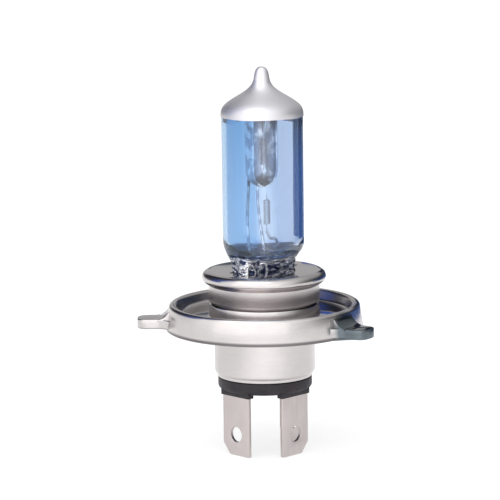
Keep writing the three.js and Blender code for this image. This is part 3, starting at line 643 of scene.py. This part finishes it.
def glass_outside():
    rings = [
        squared_ring(GLASS_LOW.z, PINCH_HALF_WIDTH - 0.25, PINCH_HALF_THICKNESS - 0.25, PINCH_POWER),
        squared_ring(GLASS_LOW.z + 0.25, PINCH_HALF_WIDTH, PINCH_HALF_THICKNESS, PINCH_POWER),
    ]
    creased_from, plain, creased = 7.5, 6, 26
    for i in range(1, plain + 1):
        z = lerp(GLASS_LOW.z + 0.25, creased_from, i / plain)
        rings.append(squared_ring(z, PINCH_HALF_WIDTH, PINCH_HALF_THICKNESS, PINCH_POWER))
    for i in range(1, creased + 1):
        z = lerp(creased_from, PINCH_TOP, i / creased)
        wave = 0.17 * min(1.0, i / 6)
        rings.append(squared_ring(z, PINCH_HALF_WIDTH, PINCH_HALF_THICKNESS, PINCH_POWER, wave=wave))
    steps = 34
    for i in range(1, steps + 1):
        t = i / steps
        rise = t**2
        fade = (1 - t) ** 1.5
        rings.append(squared_ring(
            lerp(PINCH_TOP, TUBE_START, rise),
            lerp(PINCH_HALF_WIDTH, GLASS_RADIUS, rise),
            lerp(PINCH_HALF_THICKNESS, GLASS_RADIUS, math.sqrt(1 - (1 - rise) ** 2)),
            lerp(2, PINCH_POWER, (1 - t) ** 8),
            wave=0.17 * fade,
        ))
    levels = [lerp(TUBE_START, COAT_LOW.z, i / 8) for i in range(1, 9)]
    rings += [circle(GLASS_RADIUS, z, GLASS_SEGMENTS) for z in levels]
    rings += [circle(r, z, GLASS_SEGMENTS) for r, z in crown()[1:]]
    return loft(rings)


def glass_inside():
    radius = GLASS_RADIUS - GLASS_WALL
    line = [(0.0, HOLLOW_FLOOR)]
    line += bezier(line[-1], (0.62 * radius, HOLLOW_FLOOR), (radius, 14.9), (radius, HOLLOW_ROUND_TOP), 16)
    line += [(radius, lerp(HOLLOW_ROUND_TOP, SHOULDER, i / 8)) for i in range(1, 9)]
    line += bezier(line[-1], (radius, 46.2), (6.4, 46.6), (4.2, 47.6), 12)
    line += bezier(line[-1], (3.0, 48.13), (1.6, 48.4), (0.0, 48.4), 8)
    rings = []
    for r, z in line:
        sink = max(0.0, 1 - (z - HOLLOW_FLOOR) / 3.4)
        rings.append([
            (x, y, z + 0.7 * sink * noise.noise(Vector((x * 0.35, y * 0.35, 3.1))))
            for x, y, z in circle(r, z, GLASS_SEGMENTS)
        ])
    bm = loft(rings)
    bmesh.ops.recalc_face_normals(bm, faces=bm.faces)
    bmesh.ops.reverse_faces(bm, faces=bm.faces)
    mesh = bpy.data.meshes.new("hollow")
    bm.to_mesh(mesh)
    bm.free()
    return mesh


glass = joined([to_mesh(glass_outside()), glass_inside()])
publish("glass_envelope_fine", glass, "blue_glass", sharp_angle=70)


def tip_coating():
    line = crown()
    outer, inner = offset(line, 0.12), offset(line, 0.03)
    outer[-1], inner[-1] = (0.0, outer[-1][1]), (0.0, inner[-1][1])
    bm = loft([circle(r, z, GLASS_SEGMENTS) for r, z in [*inner, *reversed(outer)]], closed_path=True)
    for vert in bm.verts:
        near_edge = max(0.0, 1 - (vert.co.z / MM - COAT_LOW.z) / 0.8)
        angle = math.atan2(vert.co.y, vert.co.x)
        wave = noise.noise(Vector((2.2 * math.cos(angle), 2.2 * math.sin(angle), 0.4)))
        vert.co.z += 0.12 * (1 + wave) * near_edge * MM
    return to_mesh(bm)


publish("tip_coating_fine", tip_coating(), "silver_coating", sharp_angle=60)


# ---------------------------------------------------------------- inside the glass

SHIELD_RADIUS = SHIELD_HIGH.x
SHIELD_SHEET = 0.25
SHIELD_RIM = SHIELD_LOW.y


def beam_shield():
    """A trough with a round lower end, open towards -Y, with a small rolled bead along its rim."""
    bead, bead_steps = 0.24, 7
    rim_y = SHIELD_RIM + bead

    def skin(radius):
        floor = SHIELD_LOW.z + SHIELD_RADIUS
        angles = [k * math.pi / 48 for k in range(1, 25)]
        line = [(radius * math.sin(a), floor - radius * math.cos(a)) for a in angles]
        return line + [(radius, lerp(floor, SHIELD_HIGH.z, k / 8)) for k in range(1, 9)]

    def arc(r, z, order):
        limit = math.pi if r <= -rim_y else math.pi / 2 + math.asin(-rim_y / r)
        angles = [math.pi / 2 + limit * (2 * k / columns - 1) for k in range(columns + 1)][::order]
        return [Vector((r * math.cos(a), r * math.sin(a), z)) for a in angles]

    def rolled(start, end, open_share):
        """Points of the bead from one skin's edge to the other's."""
        middle = (start + end) / 2
        half = (start - end) / 2
        toward = 1 if half.cross(Vector((0, -1, 0))).z > 0 else -1
        ahead = Vector((-half.y, half.x, 0)).normalized() * toward
        size = lerp(half.length, bead, open_share)
        across = half.normalized()
        turns = [math.pi * (k + 0.5) / bead_steps for k in range(bead_steps)]
        return [
            middle + across * size * math.cos(a) + ahead * size * open_share * math.sin(a)
            for a in turns
        ]

    rows = []
    columns = 40
    for outer, inner in zip(skin(SHIELD_RADIUS), skin(SHIELD_RADIUS - SHIELD_SHEET)):
        outside, inside = arc(*outer, 1), arc(*inner, -1)
        share = min(1.0, max(0.0, (outer[0] + rim_y) / 0.8))
        rows.append([
            *outside,
            *rolled(outside[-1], inside[0], share),
            *inside,
            *rolled(inside[-1], outside[0], share),
        ])
    return to_mesh(loft(rows))


publish("beam_shield_fine", beam_shield(), "molybdenum")


def filament(name):
    """A close coil that stands on its lower leg, with both legs on its axis."""
    low, high = node_box(name)
    centre = (low + high) / 2
    leg, turns, per_turn = 1.2, 15, 14
    radius, wire = 0.66, 0.11
    bottom, top = low.z + leg, high.z - leg
    points = [(centre.x, centre.y, low.z), (centre.x, centre.y, bottom - 0.35)]
    count = turns * per_turn
    for k in range(count + 1):
        angle = 2 * math.pi * k / per_turn
        ease = min(1.0, k / 5, (count - k) / 5)
        points.append((
            centre.x + ease * radius * math.cos(angle),
            centre.y + ease * radius * math.sin(angle),
            lerp(bottom, top, k / count),
        ))
    points += [(centre.x, centre.y, top + 0.35), (centre.x, centre.y, high.z)]
    publish(name + "_fine", tube(points, wire, sides=8, steps=2), "tungsten", sharp_angle=80)


filament("low_beam_filament")
filament("high_beam_filament")

SUPPORT_RADIUS = 0.32
LOW_COIL_Y = sum(corner.y for corner in node_box("low_beam_filament")) / 2
HIGH_COIL_X, HIGH_COIL_Y = (sum(corner[k] for corner in node_box("high_beam_filament")) / 2 for k in (0, 1))
LEAD_SPACING = 4.5
WIRE_START = FOIL_HIGH.z + 0.3
BEHIND = SHIELD_RADIUS + 0.3 + SUPPORT_RADIUS


def supports():
    turn = math.radians(30)

    def low_at(reach, z):
        return (reach * math.sin(turn), reach * math.cos(turn), z)

    routes = {
        "common_support": [
            (-LEAD_SPACING, 0, WIRE_START), (-LEAD_SPACING, 0, 17), (-LEAD_SPACING, 0.32, 22),
            (0, BEHIND, 29), (0, BEHIND, node_box("common_support")[1].z),
        ],
        "low_beam_support": [
            (0, 0, WIRE_START), (0, 0, 15.5), low_at(1.2, 18), low_at(BEHIND, 24), low_at(BEHIND, 34),
            low_at(BEHIND, 44.3), low_at(BEHIND - 1.2, 45.7), low_at(1.2, 45.8), (0, LOW_COIL_Y, 44.6),
            (0, LOW_COIL_Y, node_box("low_beam_filament")[1].z + 0.3),
        ],
        "high_beam_support": [
            (LEAD_SPACING, 0, WIRE_START), (LEAD_SPACING, 0, 15), (LEAD_SPACING - 0.8, -0.2, 16.6),
            (HIGH_COIL_X + 0.8, HIGH_COIL_Y, 17.4),
            (HIGH_COIL_X, HIGH_COIL_Y, node_box("high_beam_filament")[0].z - 0.3),
        ],
    }
    for name, points in routes.items():
        publish(name + "_fine", tube(points, SUPPORT_RADIUS, sides=14), "molybdenum")


supports()


def foil_and_lead(side, x, toward):
    """A feather-edged foil in the pinch, and the lead from it to a blade's tang."""
    low, high = node_box(side + "_foil")
    edge = [(low.x, 0), (low.x + 0.35, -0.07), (x, -0.1), (high.x - 0.35, -0.07), (high.x, 0)]
    section = edge + [(px, -py) for px, py in edge[-2:0:-1]]
    rings = [[(px, py, z) for px, py in section] for z in (low.z, high.z)]
    publish(side + "_foil_fine", to_mesh(loft(rings)), "molybdenum")
    start, end = node_box(side + "_lead")
    bottom, top = start.z, end.z
    reach = (BLADE_LOW.x + BLADE_HIGH.x) / 2 - 0.4 - 0.4 - 0.1
    tx, ty = toward
    points = [
        (x, 0, top), (x, 0, GLASS_LOW.z - 0.1), (x, 0, GLASS_LOW.z - 1.0),
        (x * 0.45 + tx * reach * 0.55, ty * reach * 0.55, -4.2),
        (tx * reach, ty * reach, -7.2), (tx * reach, ty * reach, bottom),
    ]
    publish(side + "_lead_fine", tube(points, 0.4, sides=14), "nickel_wire")


foil_and_lead("common", -LEAD_SPACING, (-1, 0))
foil_and_lead("low_beam", 0.0, (0, -1))
foil_and_lead("high_beam", LEAD_SPACING, (1, 0))


# ---------------------------------------------------------------- sheet-metal base

SHEET, CAP_SHEET, RING_SHEET = 0.4, 0.45, 0.5
# Room left round the pinch, and how far a cutting tool runs past what it cuts.
PINCH_CLEARANCE, OVERSHOOT = 0.3, 1
CAP_SKIRT_RADIUS, CAP_SKIRT_TOP_RADIUS = 12.3, 12.15
CAP_SKIRT_TOP, CAP_FOLD_LOW, CAP_FOLD_HIGH = 7.3, 7.7, 7.9
CAP_LIP_HEIGHT, CAP_LIP_SHOULDER, CAP_LIP_ROUND = 8.9, 9.7, 1.6


def focus_cap():
    """Inverted cup with a fold under its lip and a slot that follows the pinch."""
    half = CAP_SHEET / 2
    lip, top = CAP_HIGH.x - half, CAP_HIGH.z - half
    skirt = CAP_SKIRT_TOP_RADIUS - half
    skirt_top, lip_middle = (skirt, CAP_SKIRT_TOP), (lip, CAP_LIP_HEIGHT)
    line = [(CAP_SKIRT_RADIUS - half, CAP_LOW.z), skirt_top]
    line += bezier(skirt_top, (skirt, CAP_FOLD_LOW), (lip, CAP_FOLD_HIGH), lip_middle, 14)
    line += bezier(
        lip_middle, (lip, CAP_LIP_SHOULDER), (lip - 0.7, top), (lip - CAP_LIP_ROUND, top), 12
    )
    line += [(0.0, top)]
    body = to_mesh(revolve(sheet(line, CAP_SHEET, to_axis=True), 192))
    slot_x, slot_y = PINCH_HALF_WIDTH + PINCH_CLEARANCE, PINCH_HALF_THICKNESS + PINCH_CLEARANCE
    slot = to_mesh(loft([
        squared_ring(z, slot_x, slot_y, PINCH_POWER)
        for z in (CAP_HIGH.z - OVERSHOOT, CAP_HIGH.z + OVERSHOOT)
    ]))
    publish("focus_cap_fine", boolean(body, [slot], "DIFFERENCE"), "bright_steel", sharp_angle=50)


focus_cap()


SLEEVE_RADIUS, SLEEVE_MOUTH_RADIUS, SLEEVE_TOP = 11.2, 9.6, 8.5


def inner_sleeve():
    """Sleeve with its top turned in, which carries the clip's plate."""
    line = rounded([
        (SLEEVE_RADIUS, SLEEVE_LOW.z, 0),
        (SLEEVE_RADIUS, SLEEVE_TOP, 0.6),
        (SLEEVE_MOUTH_RADIUS, SLEEVE_TOP, 0),
    ], 8)
    publish("inner_sleeve_fine", to_mesh(revolve(sheet(line, SHEET), 160)), "bright_steel")


inner_sleeve()


def seal_clip():
    """Sprung plate and flat tube that grip the pinch."""
    inner_x = PINCH_HALF_WIDTH + PINCH_CLEARANCE
    inner_y = PINCH_HALF_THICKNESS + PINCH_CLEARANCE
    outer_x, outer_y = inner_x + SHEET, inner_y + SHEET
    top, bottom, edge = CLIP_HIGH.z, CLIP_HIGH.z - SHEET, CLIP_HIGH.x
    disc = to_mesh(revolve([
        (0.0, bottom),
        (edge - 0.1, bottom),
        (edge, bottom + 0.1),
        (edge, top - 0.1),
        (edge - 0.1, top),
        (0.0, top),
    ], 128))
    tube_box = box((-outer_x, -outer_y, CLIP_LOW.z), (outer_x, outer_y, top - 0.05), 0.3)
    bore = box((-inner_x, -inner_y, CLIP_LOW.z - OVERSHOOT), (inner_x, inner_y, top + OVERSHOOT))
    body = boolean(boolean(disc, [tube_box], "UNION"), [bore], "DIFFERENCE")
    publish("seal_clip_fine", body, "bright_steel")


seal_clip()

LUGS = ((-81, 3.0), (30, 4.0), (136, 3.0))
LUG_TIP, LUG_ROOT, LUG_DEPTH, LUG_SHEET = 27.9, 20.6, 2.1, 0.6
CREST = 2.75
BAND_BOTTOM, BAND_RADIUS = -2.6, 21.5
CREST_OUTER_RADIUS, CREST_INNER_RADIUS = 20.68, 19.6
DISH_RADIUS, DISH_HEIGHT, NECK_RADIUS = 18.75, 0.25, 11.85


def lug_outline(half_width, inset):
    tip, half = LUG_TIP - inset, half_width - inset
    root = half + 2.0
    lower = [(LUG_ROOT - inset, -root)]
    lower += bezier(lower[-1], (22.0, -half - 0.6), (22.6, -half), (23.8, -half), 8)
    lower += [(tip - 2.4, -half)]
    lower += bezier(lower[-1], (tip - 0.9, -half), (tip, -half + 0.9), (tip, -half + 2.4), 8)
    return lower + [(x, -y) for x, y in reversed(lower)]


def flange_ring():
    """Neck, dish, crest and outer band in one sheet, with the three lugs and the front lug's tab."""
    line = rounded([
        (BAND_RADIUS, BAND_BOTTOM, 0),
        (CREST_OUTER_RADIUS, CREST, 1.3),
        (CREST_INNER_RADIUS, CREST, 0.6),
        (DISH_RADIUS, DISH_HEIGHT, 1.3),
        (NECK_RADIUS, DISH_HEIGHT, 0.6),
        (NECK_RADIUS, RING_HIGH.z, 0),
    ], 12)
    ring = to_mesh(revolve(sheet(line, RING_SHEET), 224))
    notches, lugs, pockets = [], [], []
    for angle, half in LUGS:
        notches.append(turned(box((18, -half - 0.8, BAND_BOTTOM - 1), (23.5, half + 0.8, -1.5)), angle))
        lugs.append(turned(plate(lug_outline(half, 0), [], -LUG_DEPTH, 0, 0.22), angle))
        profile = [(20.4, -0.3), (23.4, -0.3), (23.4, 0.0)]
        profile += bezier((23.4, 0.0), (22.4, 0.0), (21.2, 0.8), (20.4, CREST), 10)
        ramp = plate([(x, z) for x, z in profile], [], -half - 0.4, half + 0.4, 0.12)
        ramp.transform(Matrix.Rotation(math.pi / 2, 4, "X"))
        lugs.append(turned(ramp, angle))
        pocket = plate(lug_outline(half, LUG_SHEET), [], -LUG_DEPTH - 1.5, -LUG_SHEET, 0.1)
        pockets.append(turned(pocket, angle))
    ring = boolean(ring, notches, "DIFFERENCE")
    ring = boolean(ring, lugs, "UNION")
    ring = boolean(ring, pockets, "DIFFERENCE")
    tab = [(19.6, -6.4)] + bezier((19.6, -6.4), (21.5, -3.9), (23.5, -1.3), (25.6, 0.0), 10)
    tab += [(x, -y) for x, y in reversed(tab[:-1])]
    tab_plate = turned(plate(tab, [], BAND_BOTTOM, BAND_BOTTOM + SHEET, 0.1), LUGS[0][0])
    ring = boolean(ring, [tab_plate], "UNION")
    publish("flange_ring_fine", ring, "bright_steel")


flange_ring()


SHELL_RADIUS, SHELL_FOOT_RADIUS = 10.85, 10.3
SHELL_STEP_LOW, SHELL_STEP_HIGH, SHELL_TOP = -12.4, -11.8, -0.35


def base_shell():
    """Cylinder with a flange at its top and a small step near its foot."""
    line = rounded([
        (SHELL_FOOT_RADIUS, SHELL_LOW.z, 0),
        (SHELL_FOOT_RADIUS, SHELL_STEP_LOW, 0.25),
        (SHELL_RADIUS, SHELL_STEP_HIGH, 0.3),
        (SHELL_RADIUS, SHELL_TOP, 0.6),
        (SHELL_HIGH.x, SHELL_TOP, 0),
    ], 8)
    publish("base_shell_fine", to_mesh(revolve(sheet(line, SHEET), 192)), "bright_steel", sharp_angle=50)


base_shell()

BLADES = (("common_blade", 180, -1), ("low_beam_blade", -90, 1), ("high_beam_blade", 0, 1))
BLADE_MIDDLE = (BLADE_LOW.x + BLADE_HIGH.x) / 2
BLADE_HALF = BLADE_HIGH.y
BLADE_SHOULDER = -13.7
BLADE_HALF_SHEET, TANG_HALF = 0.4, 2.0
BLADE_CUT_WIDTH, BLADE_CUT_HEIGHT = 2.0, 2.5
BLADE_HOLE_RADIUS, BLADE_HOLE_HEIGHT = 1.7, -25.2
INSULATOR_RADIUS, INSULATOR_WAIST, INSULATOR_TOP_RADIUS = 10.35, 9.85, 10.2
INSULATOR_STEP, INSULATOR_WAIST_TOP, INSULATOR_SLOPE_TOP = -13.25, -12.2, -11.6
BOSS_HEIGHT = 0.8


def insulator():
    """Black disc that fits the shell's foot, with a boss and a slot for each blade."""
    bottom, top = BLACK_LOW.z + BOSS_HEIGHT, BLACK_HIGH.z
    outline = rounded([
        (0, bottom, 0),
        (INSULATOR_RADIUS, bottom, 0.9),
        (INSULATOR_RADIUS, INSULATOR_STEP, 0.15),
        (INSULATOR_WAIST, INSULATOR_STEP, 0),
        (INSULATOR_WAIST, INSULATOR_WAIST_TOP, 0),
        (INSULATOR_TOP_RADIUS, INSULATOR_SLOPE_TOP, 0),
        (INSULATOR_TOP_RADIUS, top, 0.2),
        (0, top, 0),
    ], 8)
    disc = to_mesh(revolve(outline, 160))
    inner, outer = BLADE_MIDDLE - BLADE_HALF_SHEET, BLADE_MIDDLE + BLADE_HALF_SHEET
    bosses, slots = [], []
    for _, turn, _ in BLADES:
        wall, gap = 0.3, 0.1
        boss = box(
            (inner - 0.55, -BLADE_HALF - wall, BLACK_LOW.z),
            (outer + wall, BLADE_HALF + wall, bottom + 0.5),
            0.12,
        )
        blade_slot = box(
            (inner - gap, -BLADE_HALF - gap, BLACK_LOW.z - OVERSHOOT),
            (outer + gap, BLADE_HALF + gap, BLADE_SHOULDER + gap),
        )
        tang_slot = box(
            (inner - gap, -TANG_HALF - gap, BLADE_SHOULDER),
            (outer + gap, TANG_HALF + gap, top + OVERSHOOT),
        )
        bosses.append(turned(boss, turn))
        slots += [turned(blade_slot, turn), turned(tang_slot, turn)]
    body = boolean(boolean(disc, bosses, "UNION"), slots, "DIFFERENCE")
    publish("insulator_fine", body, "black_ceramic")


insulator()


def blade(name, turn, cut_side):
    """Flat terminal with a hole, one cut corner and a narrow tang, turned to its place about the axis."""
    bottom, top = BLADE_LOW.z, BLADE_HIGH.z
    half = BLADE_HALF
    corners = [
        (-half, BLADE_SHOULDER, 0.3),
        (-half, bottom, 0.35),
        (half - BLADE_CUT_WIDTH, bottom, 0.6),
        (half, bottom + BLADE_CUT_HEIGHT, 0.6),
        (half, BLADE_SHOULDER, 0.3),
        (TANG_HALF, BLADE_SHOULDER, 0.2),
        (TANG_HALF, top, 0.4),
        (-TANG_HALF, top, 0.4),
        (-TANG_HALF, BLADE_SHOULDER, 0.2),
    ]
    ring = [corners[-1], *corners, corners[0]]
    outline = [(cut_side * x, y) for x, y in rounded(ring, 5)[1:-1]]
    hole = ring_points(BLADE_HOLE_RADIUS, (0, BLADE_HOLE_HEIGHT), 56)
    mesh = plate(outline, [hole], -BLADE_HALF_SHEET, BLADE_HALF_SHEET, 0.09)
    mesh.transform(Matrix(((0, 0, 1, BLADE_MIDDLE * MM), (1, 0, 0, 0), (0, 1, 0, 0), (0, 0, 0, 1))))
    publish(name + "_fine", turned(mesh, turn), "tinned_blade")


for blade_row in BLADES:
    blade(*blade_row)


# ---------------------------------------------------------------- floor, light and camera

FLOOR_SIZE = 8.0
scene = bpy.context.scene
floor_mesh = bpy.data.meshes.new("floor")
floor_corners = [
    (x * FLOOR_SIZE, y * FLOOR_SIZE, CAD_BOX[0][2] - 0.0001)
    for x, y in ((-1, -1), (1, -1), (1, 1), (-1, 1))
]
floor_mesh.from_pydata(floor_corners, [], [(0, 1, 2, 3)])
floor = bpy.data.objects.new("floor", floor_mesh)
scene.collection.objects.link(floor)
floor_material, floor_tree, floor_shader = node_tree("pale_floor")
paper = pattern(floor_tree, 60.0, detail=3.0)
floor_tree.links.new(
    mixed(floor_tree, between(floor_tree, paper, 0.0, 1.0), (0.37, 0.37, 0.375), (0.35, 0.35, 0.355)),
    floor_shader.inputs["Base Color"],
)
floor_shader.inputs["Roughness"].default_value = 0.9
floor_shader.inputs["Specular IOR Level"].default_value = 0.1
# The table is lit from below, brightest in front of the bulb.
pool_offset = add(
    floor_tree,
    "ShaderNodeVectorMath",
    {0: add(floor_tree, "ShaderNodeTexCoord").outputs["Object"], 1: (-0.085, -0.085, CAD_BOX[0][2])},
    operation="DISTANCE",
).outputs["Value"]
pool = between(floor_tree, pool_offset, 1.25, 0.74, 0.02, 0.11)
floor_shader.inputs["Emission Color"].default_value = (1, 1, 1, 1)
floor_tree.links.new(pool, floor_shader.inputs["Emission Strength"])
# From below, the table is clear.
floor_tree.links.new(
    add(
        floor_tree,
        "ShaderNodeMixShader",
        {
            0: add(floor_tree, "ShaderNodeNewGeometry").outputs["Backfacing"],
            1: floor_shader.outputs[0],
            2: add(floor_tree, "ShaderNodeBsdfTransparent").outputs[0],
        },
    ).outputs[0],
    floor_tree.nodes["Material Output"].inputs["Surface"],
)
floor_mesh.materials.append(floor_material)

world = bpy.data.worlds.new("studio")
scene.world = world
world.use_nodes = True


# Azimuth in the view convention, elevation, sharpness and strength of each lobe.
SKY_BASE = 0.5
SKY_LOBES = (
    (-65, 10, 1.0, 0.95),
    (-140, 10, 5.0, 0.4),
    (-60, 12, 12.0, 0.2),
    (52, 14, 5.0, -0.5),
    (5, 58, 3.0, 0.5),
)


def toward_sky(azimuth, elevation):
    """Level and raised direction, both in degrees, as a unit vector."""
    a, e = math.radians(azimuth), math.radians(elevation)
    return math.sin(a) * math.cos(e), -math.cos(a) * math.cos(e), math.sin(e)


def studio_sky():
    """Soft grey sky with broad lobes of light, one of them darker; the camera itself sees plain white."""
    tree = world.node_tree
    ray = add(tree, "ShaderNodeTexCoord").outputs["Generated"]
    total = add(tree, "ShaderNodeValue")
    total.outputs[0].default_value = SKY_BASE
    level = total.outputs[0]
    for azimuth, elevation, sharpness, strength in SKY_LOBES:
        toward = toward_sky(azimuth, elevation)
        cosine = add(tree, "ShaderNodeVectorMath", {0: ray, 1: toward}, operation="DOT_PRODUCT")
        facing = add(tree, "ShaderNodeMath", {0: cosine.outputs["Value"], 1: 0.0}, operation="MAXIMUM")
        lobe = add(tree, "ShaderNodeMath", {0: facing.outputs[0], 1: sharpness}, operation="POWER")
        summed = {0: lobe.outputs[0], 1: strength, 2: level}
        level = add(tree, "ShaderNodeMath", summed, operation="MULTIPLY_ADD").outputs[0]
    seen = add(tree, "ShaderNodeLightPath").outputs["Is Camera Ray"]
    level = add(tree, "ShaderNodeMix", {0: seen, 2: level, 3: 1.0}).outputs[0]
    tree.links.new(level, tree.nodes["Background"].inputs["Strength"])
    tree.nodes["Background"].inputs["Color"].default_value = (0.985, 0.99, 1.0, 1)


studio_sky()


def sun(name, azimuth, elevation, spread, strength):
    data = bpy.data.lights.new(name, "SUN")
    data.angle, data.energy = math.radians(spread), strength
    lamp = bpy.data.objects.new(name, data)
    lamp.rotation_mode = "QUATERNION"
    lamp.rotation_quaternion = Vector(toward_sky(azimuth, elevation)).to_track_quat("Z", "Y")
    scene.collection.objects.link(lamp)


sun("soft_sun", -80, 62, 50, 0.6)


VIEW_AZIMUTH = math.radians(-45)
FLOOR_HEIGHT = CAD_BOX[0][2] / MM


def card(name, radius, span, heights, low_tone, high_tone, strength=1.0):
    """Curved card that only mirrors and glass see; its span is in degrees from the camera."""
    steps = 24
    bm = bmesh.new()
    rows = []
    for k in range(steps + 1):
        around = VIEW_AZIMUTH + math.radians(lerp(*span, k / steps))
        x, y = radius * math.sin(around), -radius * math.cos(around)
        rows.append([bm.verts.new(Vector((x, y, FLOOR_HEIGHT + h)) * MM) for h in heights])
    for a, b in zip(rows, rows[1:]):
        bm.faces.new((a[0], b[0], b[1], a[1]))
    made = bpy.data.objects.new(name, to_mesh(bm, name))
    scene.collection.objects.link(made)
    material, tree, shader = node_tree(name + "_paint")
    place = add(tree, "ShaderNodeTexCoord").outputs["Object"]
    height = add(tree, "ShaderNodeSeparateXYZ", {0: place}).outputs["Z"]
    cloth = {0: pattern(tree, 30.0), 1: 0.01, 2: height}
    cloth = add(tree, "ShaderNodeMath", cloth, operation="MULTIPLY_ADD").outputs[0]
    rise = between(tree, cloth, 0.0, 1.0, 0.010, 0.026)
    tree.links.new(mixed(tree, rise, low_tone, high_tone), shader.inputs["Emission Color"])
    shader.inputs["Emission Strength"].default_value = strength
    shader.inputs["Base Color"].default_value = (0.01, 0.01, 0.01, 1)
    shader.inputs["Specular IOR Level"].default_value = 0.0
    made.data.materials.append(material)
    made.visible_camera = made.visible_diffuse = made.visible_shadow = False


# Dark card to the right and behind. Blue and black ones for the inside of the flange ring: to the left
# for the crest's inner wall, and low behind for the dish. A soft bright panel stands in front.
BLUE, BLACK, SLATE = (0.01, 0.06, 0.34), (0.01, 0.012, 0.02), (0.07, 0.09, 0.12)
card("dark_card", 200, (100, 168.5), (0, 112), (0.02, 0.08, 0.28), (0.014, 0.022, 0.05))
card("blue_wall_card", 196, (-112, -86), (58, 420), BLUE, BLUE)
card("black_wall_card", 196, (-155, -112), (58, 420), BLACK, BLACK)
card("blue_dish_card", 198, (173.6, 176.5), (54, 71), BLUE, BLUE)
card("black_dish_card", 198, (166.5, 173.6), (54, 71), BLACK, BLACK)
card("slate_dish_card", 198, (-178, -172.5), (54, 71), SLATE, SLATE)
card("panel", 170, (-58, 26), (16, 130), (1, 1, 1), (1, 1, 1), strength=1.8)

CAMERA_DISTANCE, CAMERA_HEIGHT = 560.0, 111.8
FOCAL_PIXELS, IMAGE_SIDE = 2597.5, 500
PITCH, YAW, ROLL = math.radians(9.842), math.radians(0.304), math.radians(0.742)


def make_camera():
    data = bpy.data.cameras.new("camera")
    data.sensor_width = 36.0
    data.lens = data.sensor_width * FOCAL_PIXELS / IMAGE_SIDE
    data.clip_start, data.clip_end = 0.01, 100.0
    camera = bpy.data.objects.new("camera", data)
    scene.collection.objects.link(camera)
    away = Vector((-math.sin(VIEW_AZIMUTH), math.cos(VIEW_AZIMUTH), 0))
    across = Vector((math.cos(VIEW_AZIMUTH), math.sin(VIEW_AZIMUTH), 0))
    up = Vector((0, 0, 1))
    camera.location = (-away * CAMERA_DISTANCE + up * CAMERA_HEIGHT) * MM
    level = away * math.cos(YAW) - across * math.sin(YAW)
    right = across * math.cos(YAW) + away * math.sin(YAW)
    look = level * math.cos(PITCH) - up * math.sin(PITCH)
    top = right.cross(look)
    rolled_right = right * math.cos(ROLL) - top * math.sin(ROLL)
    rolled_top = top * math.cos(ROLL) + right * math.sin(ROLL)
    camera.rotation_mode = "QUATERNION"
    camera.rotation_quaternion = Matrix((rolled_right, rolled_top, -look)).transposed().to_quaternion()
    scene.camera = camera


make_camera()
scene.view_settings.view_transform = "Standard"
scene.view_settings.look = "None"
scene.view_settings.exposure = 0.0
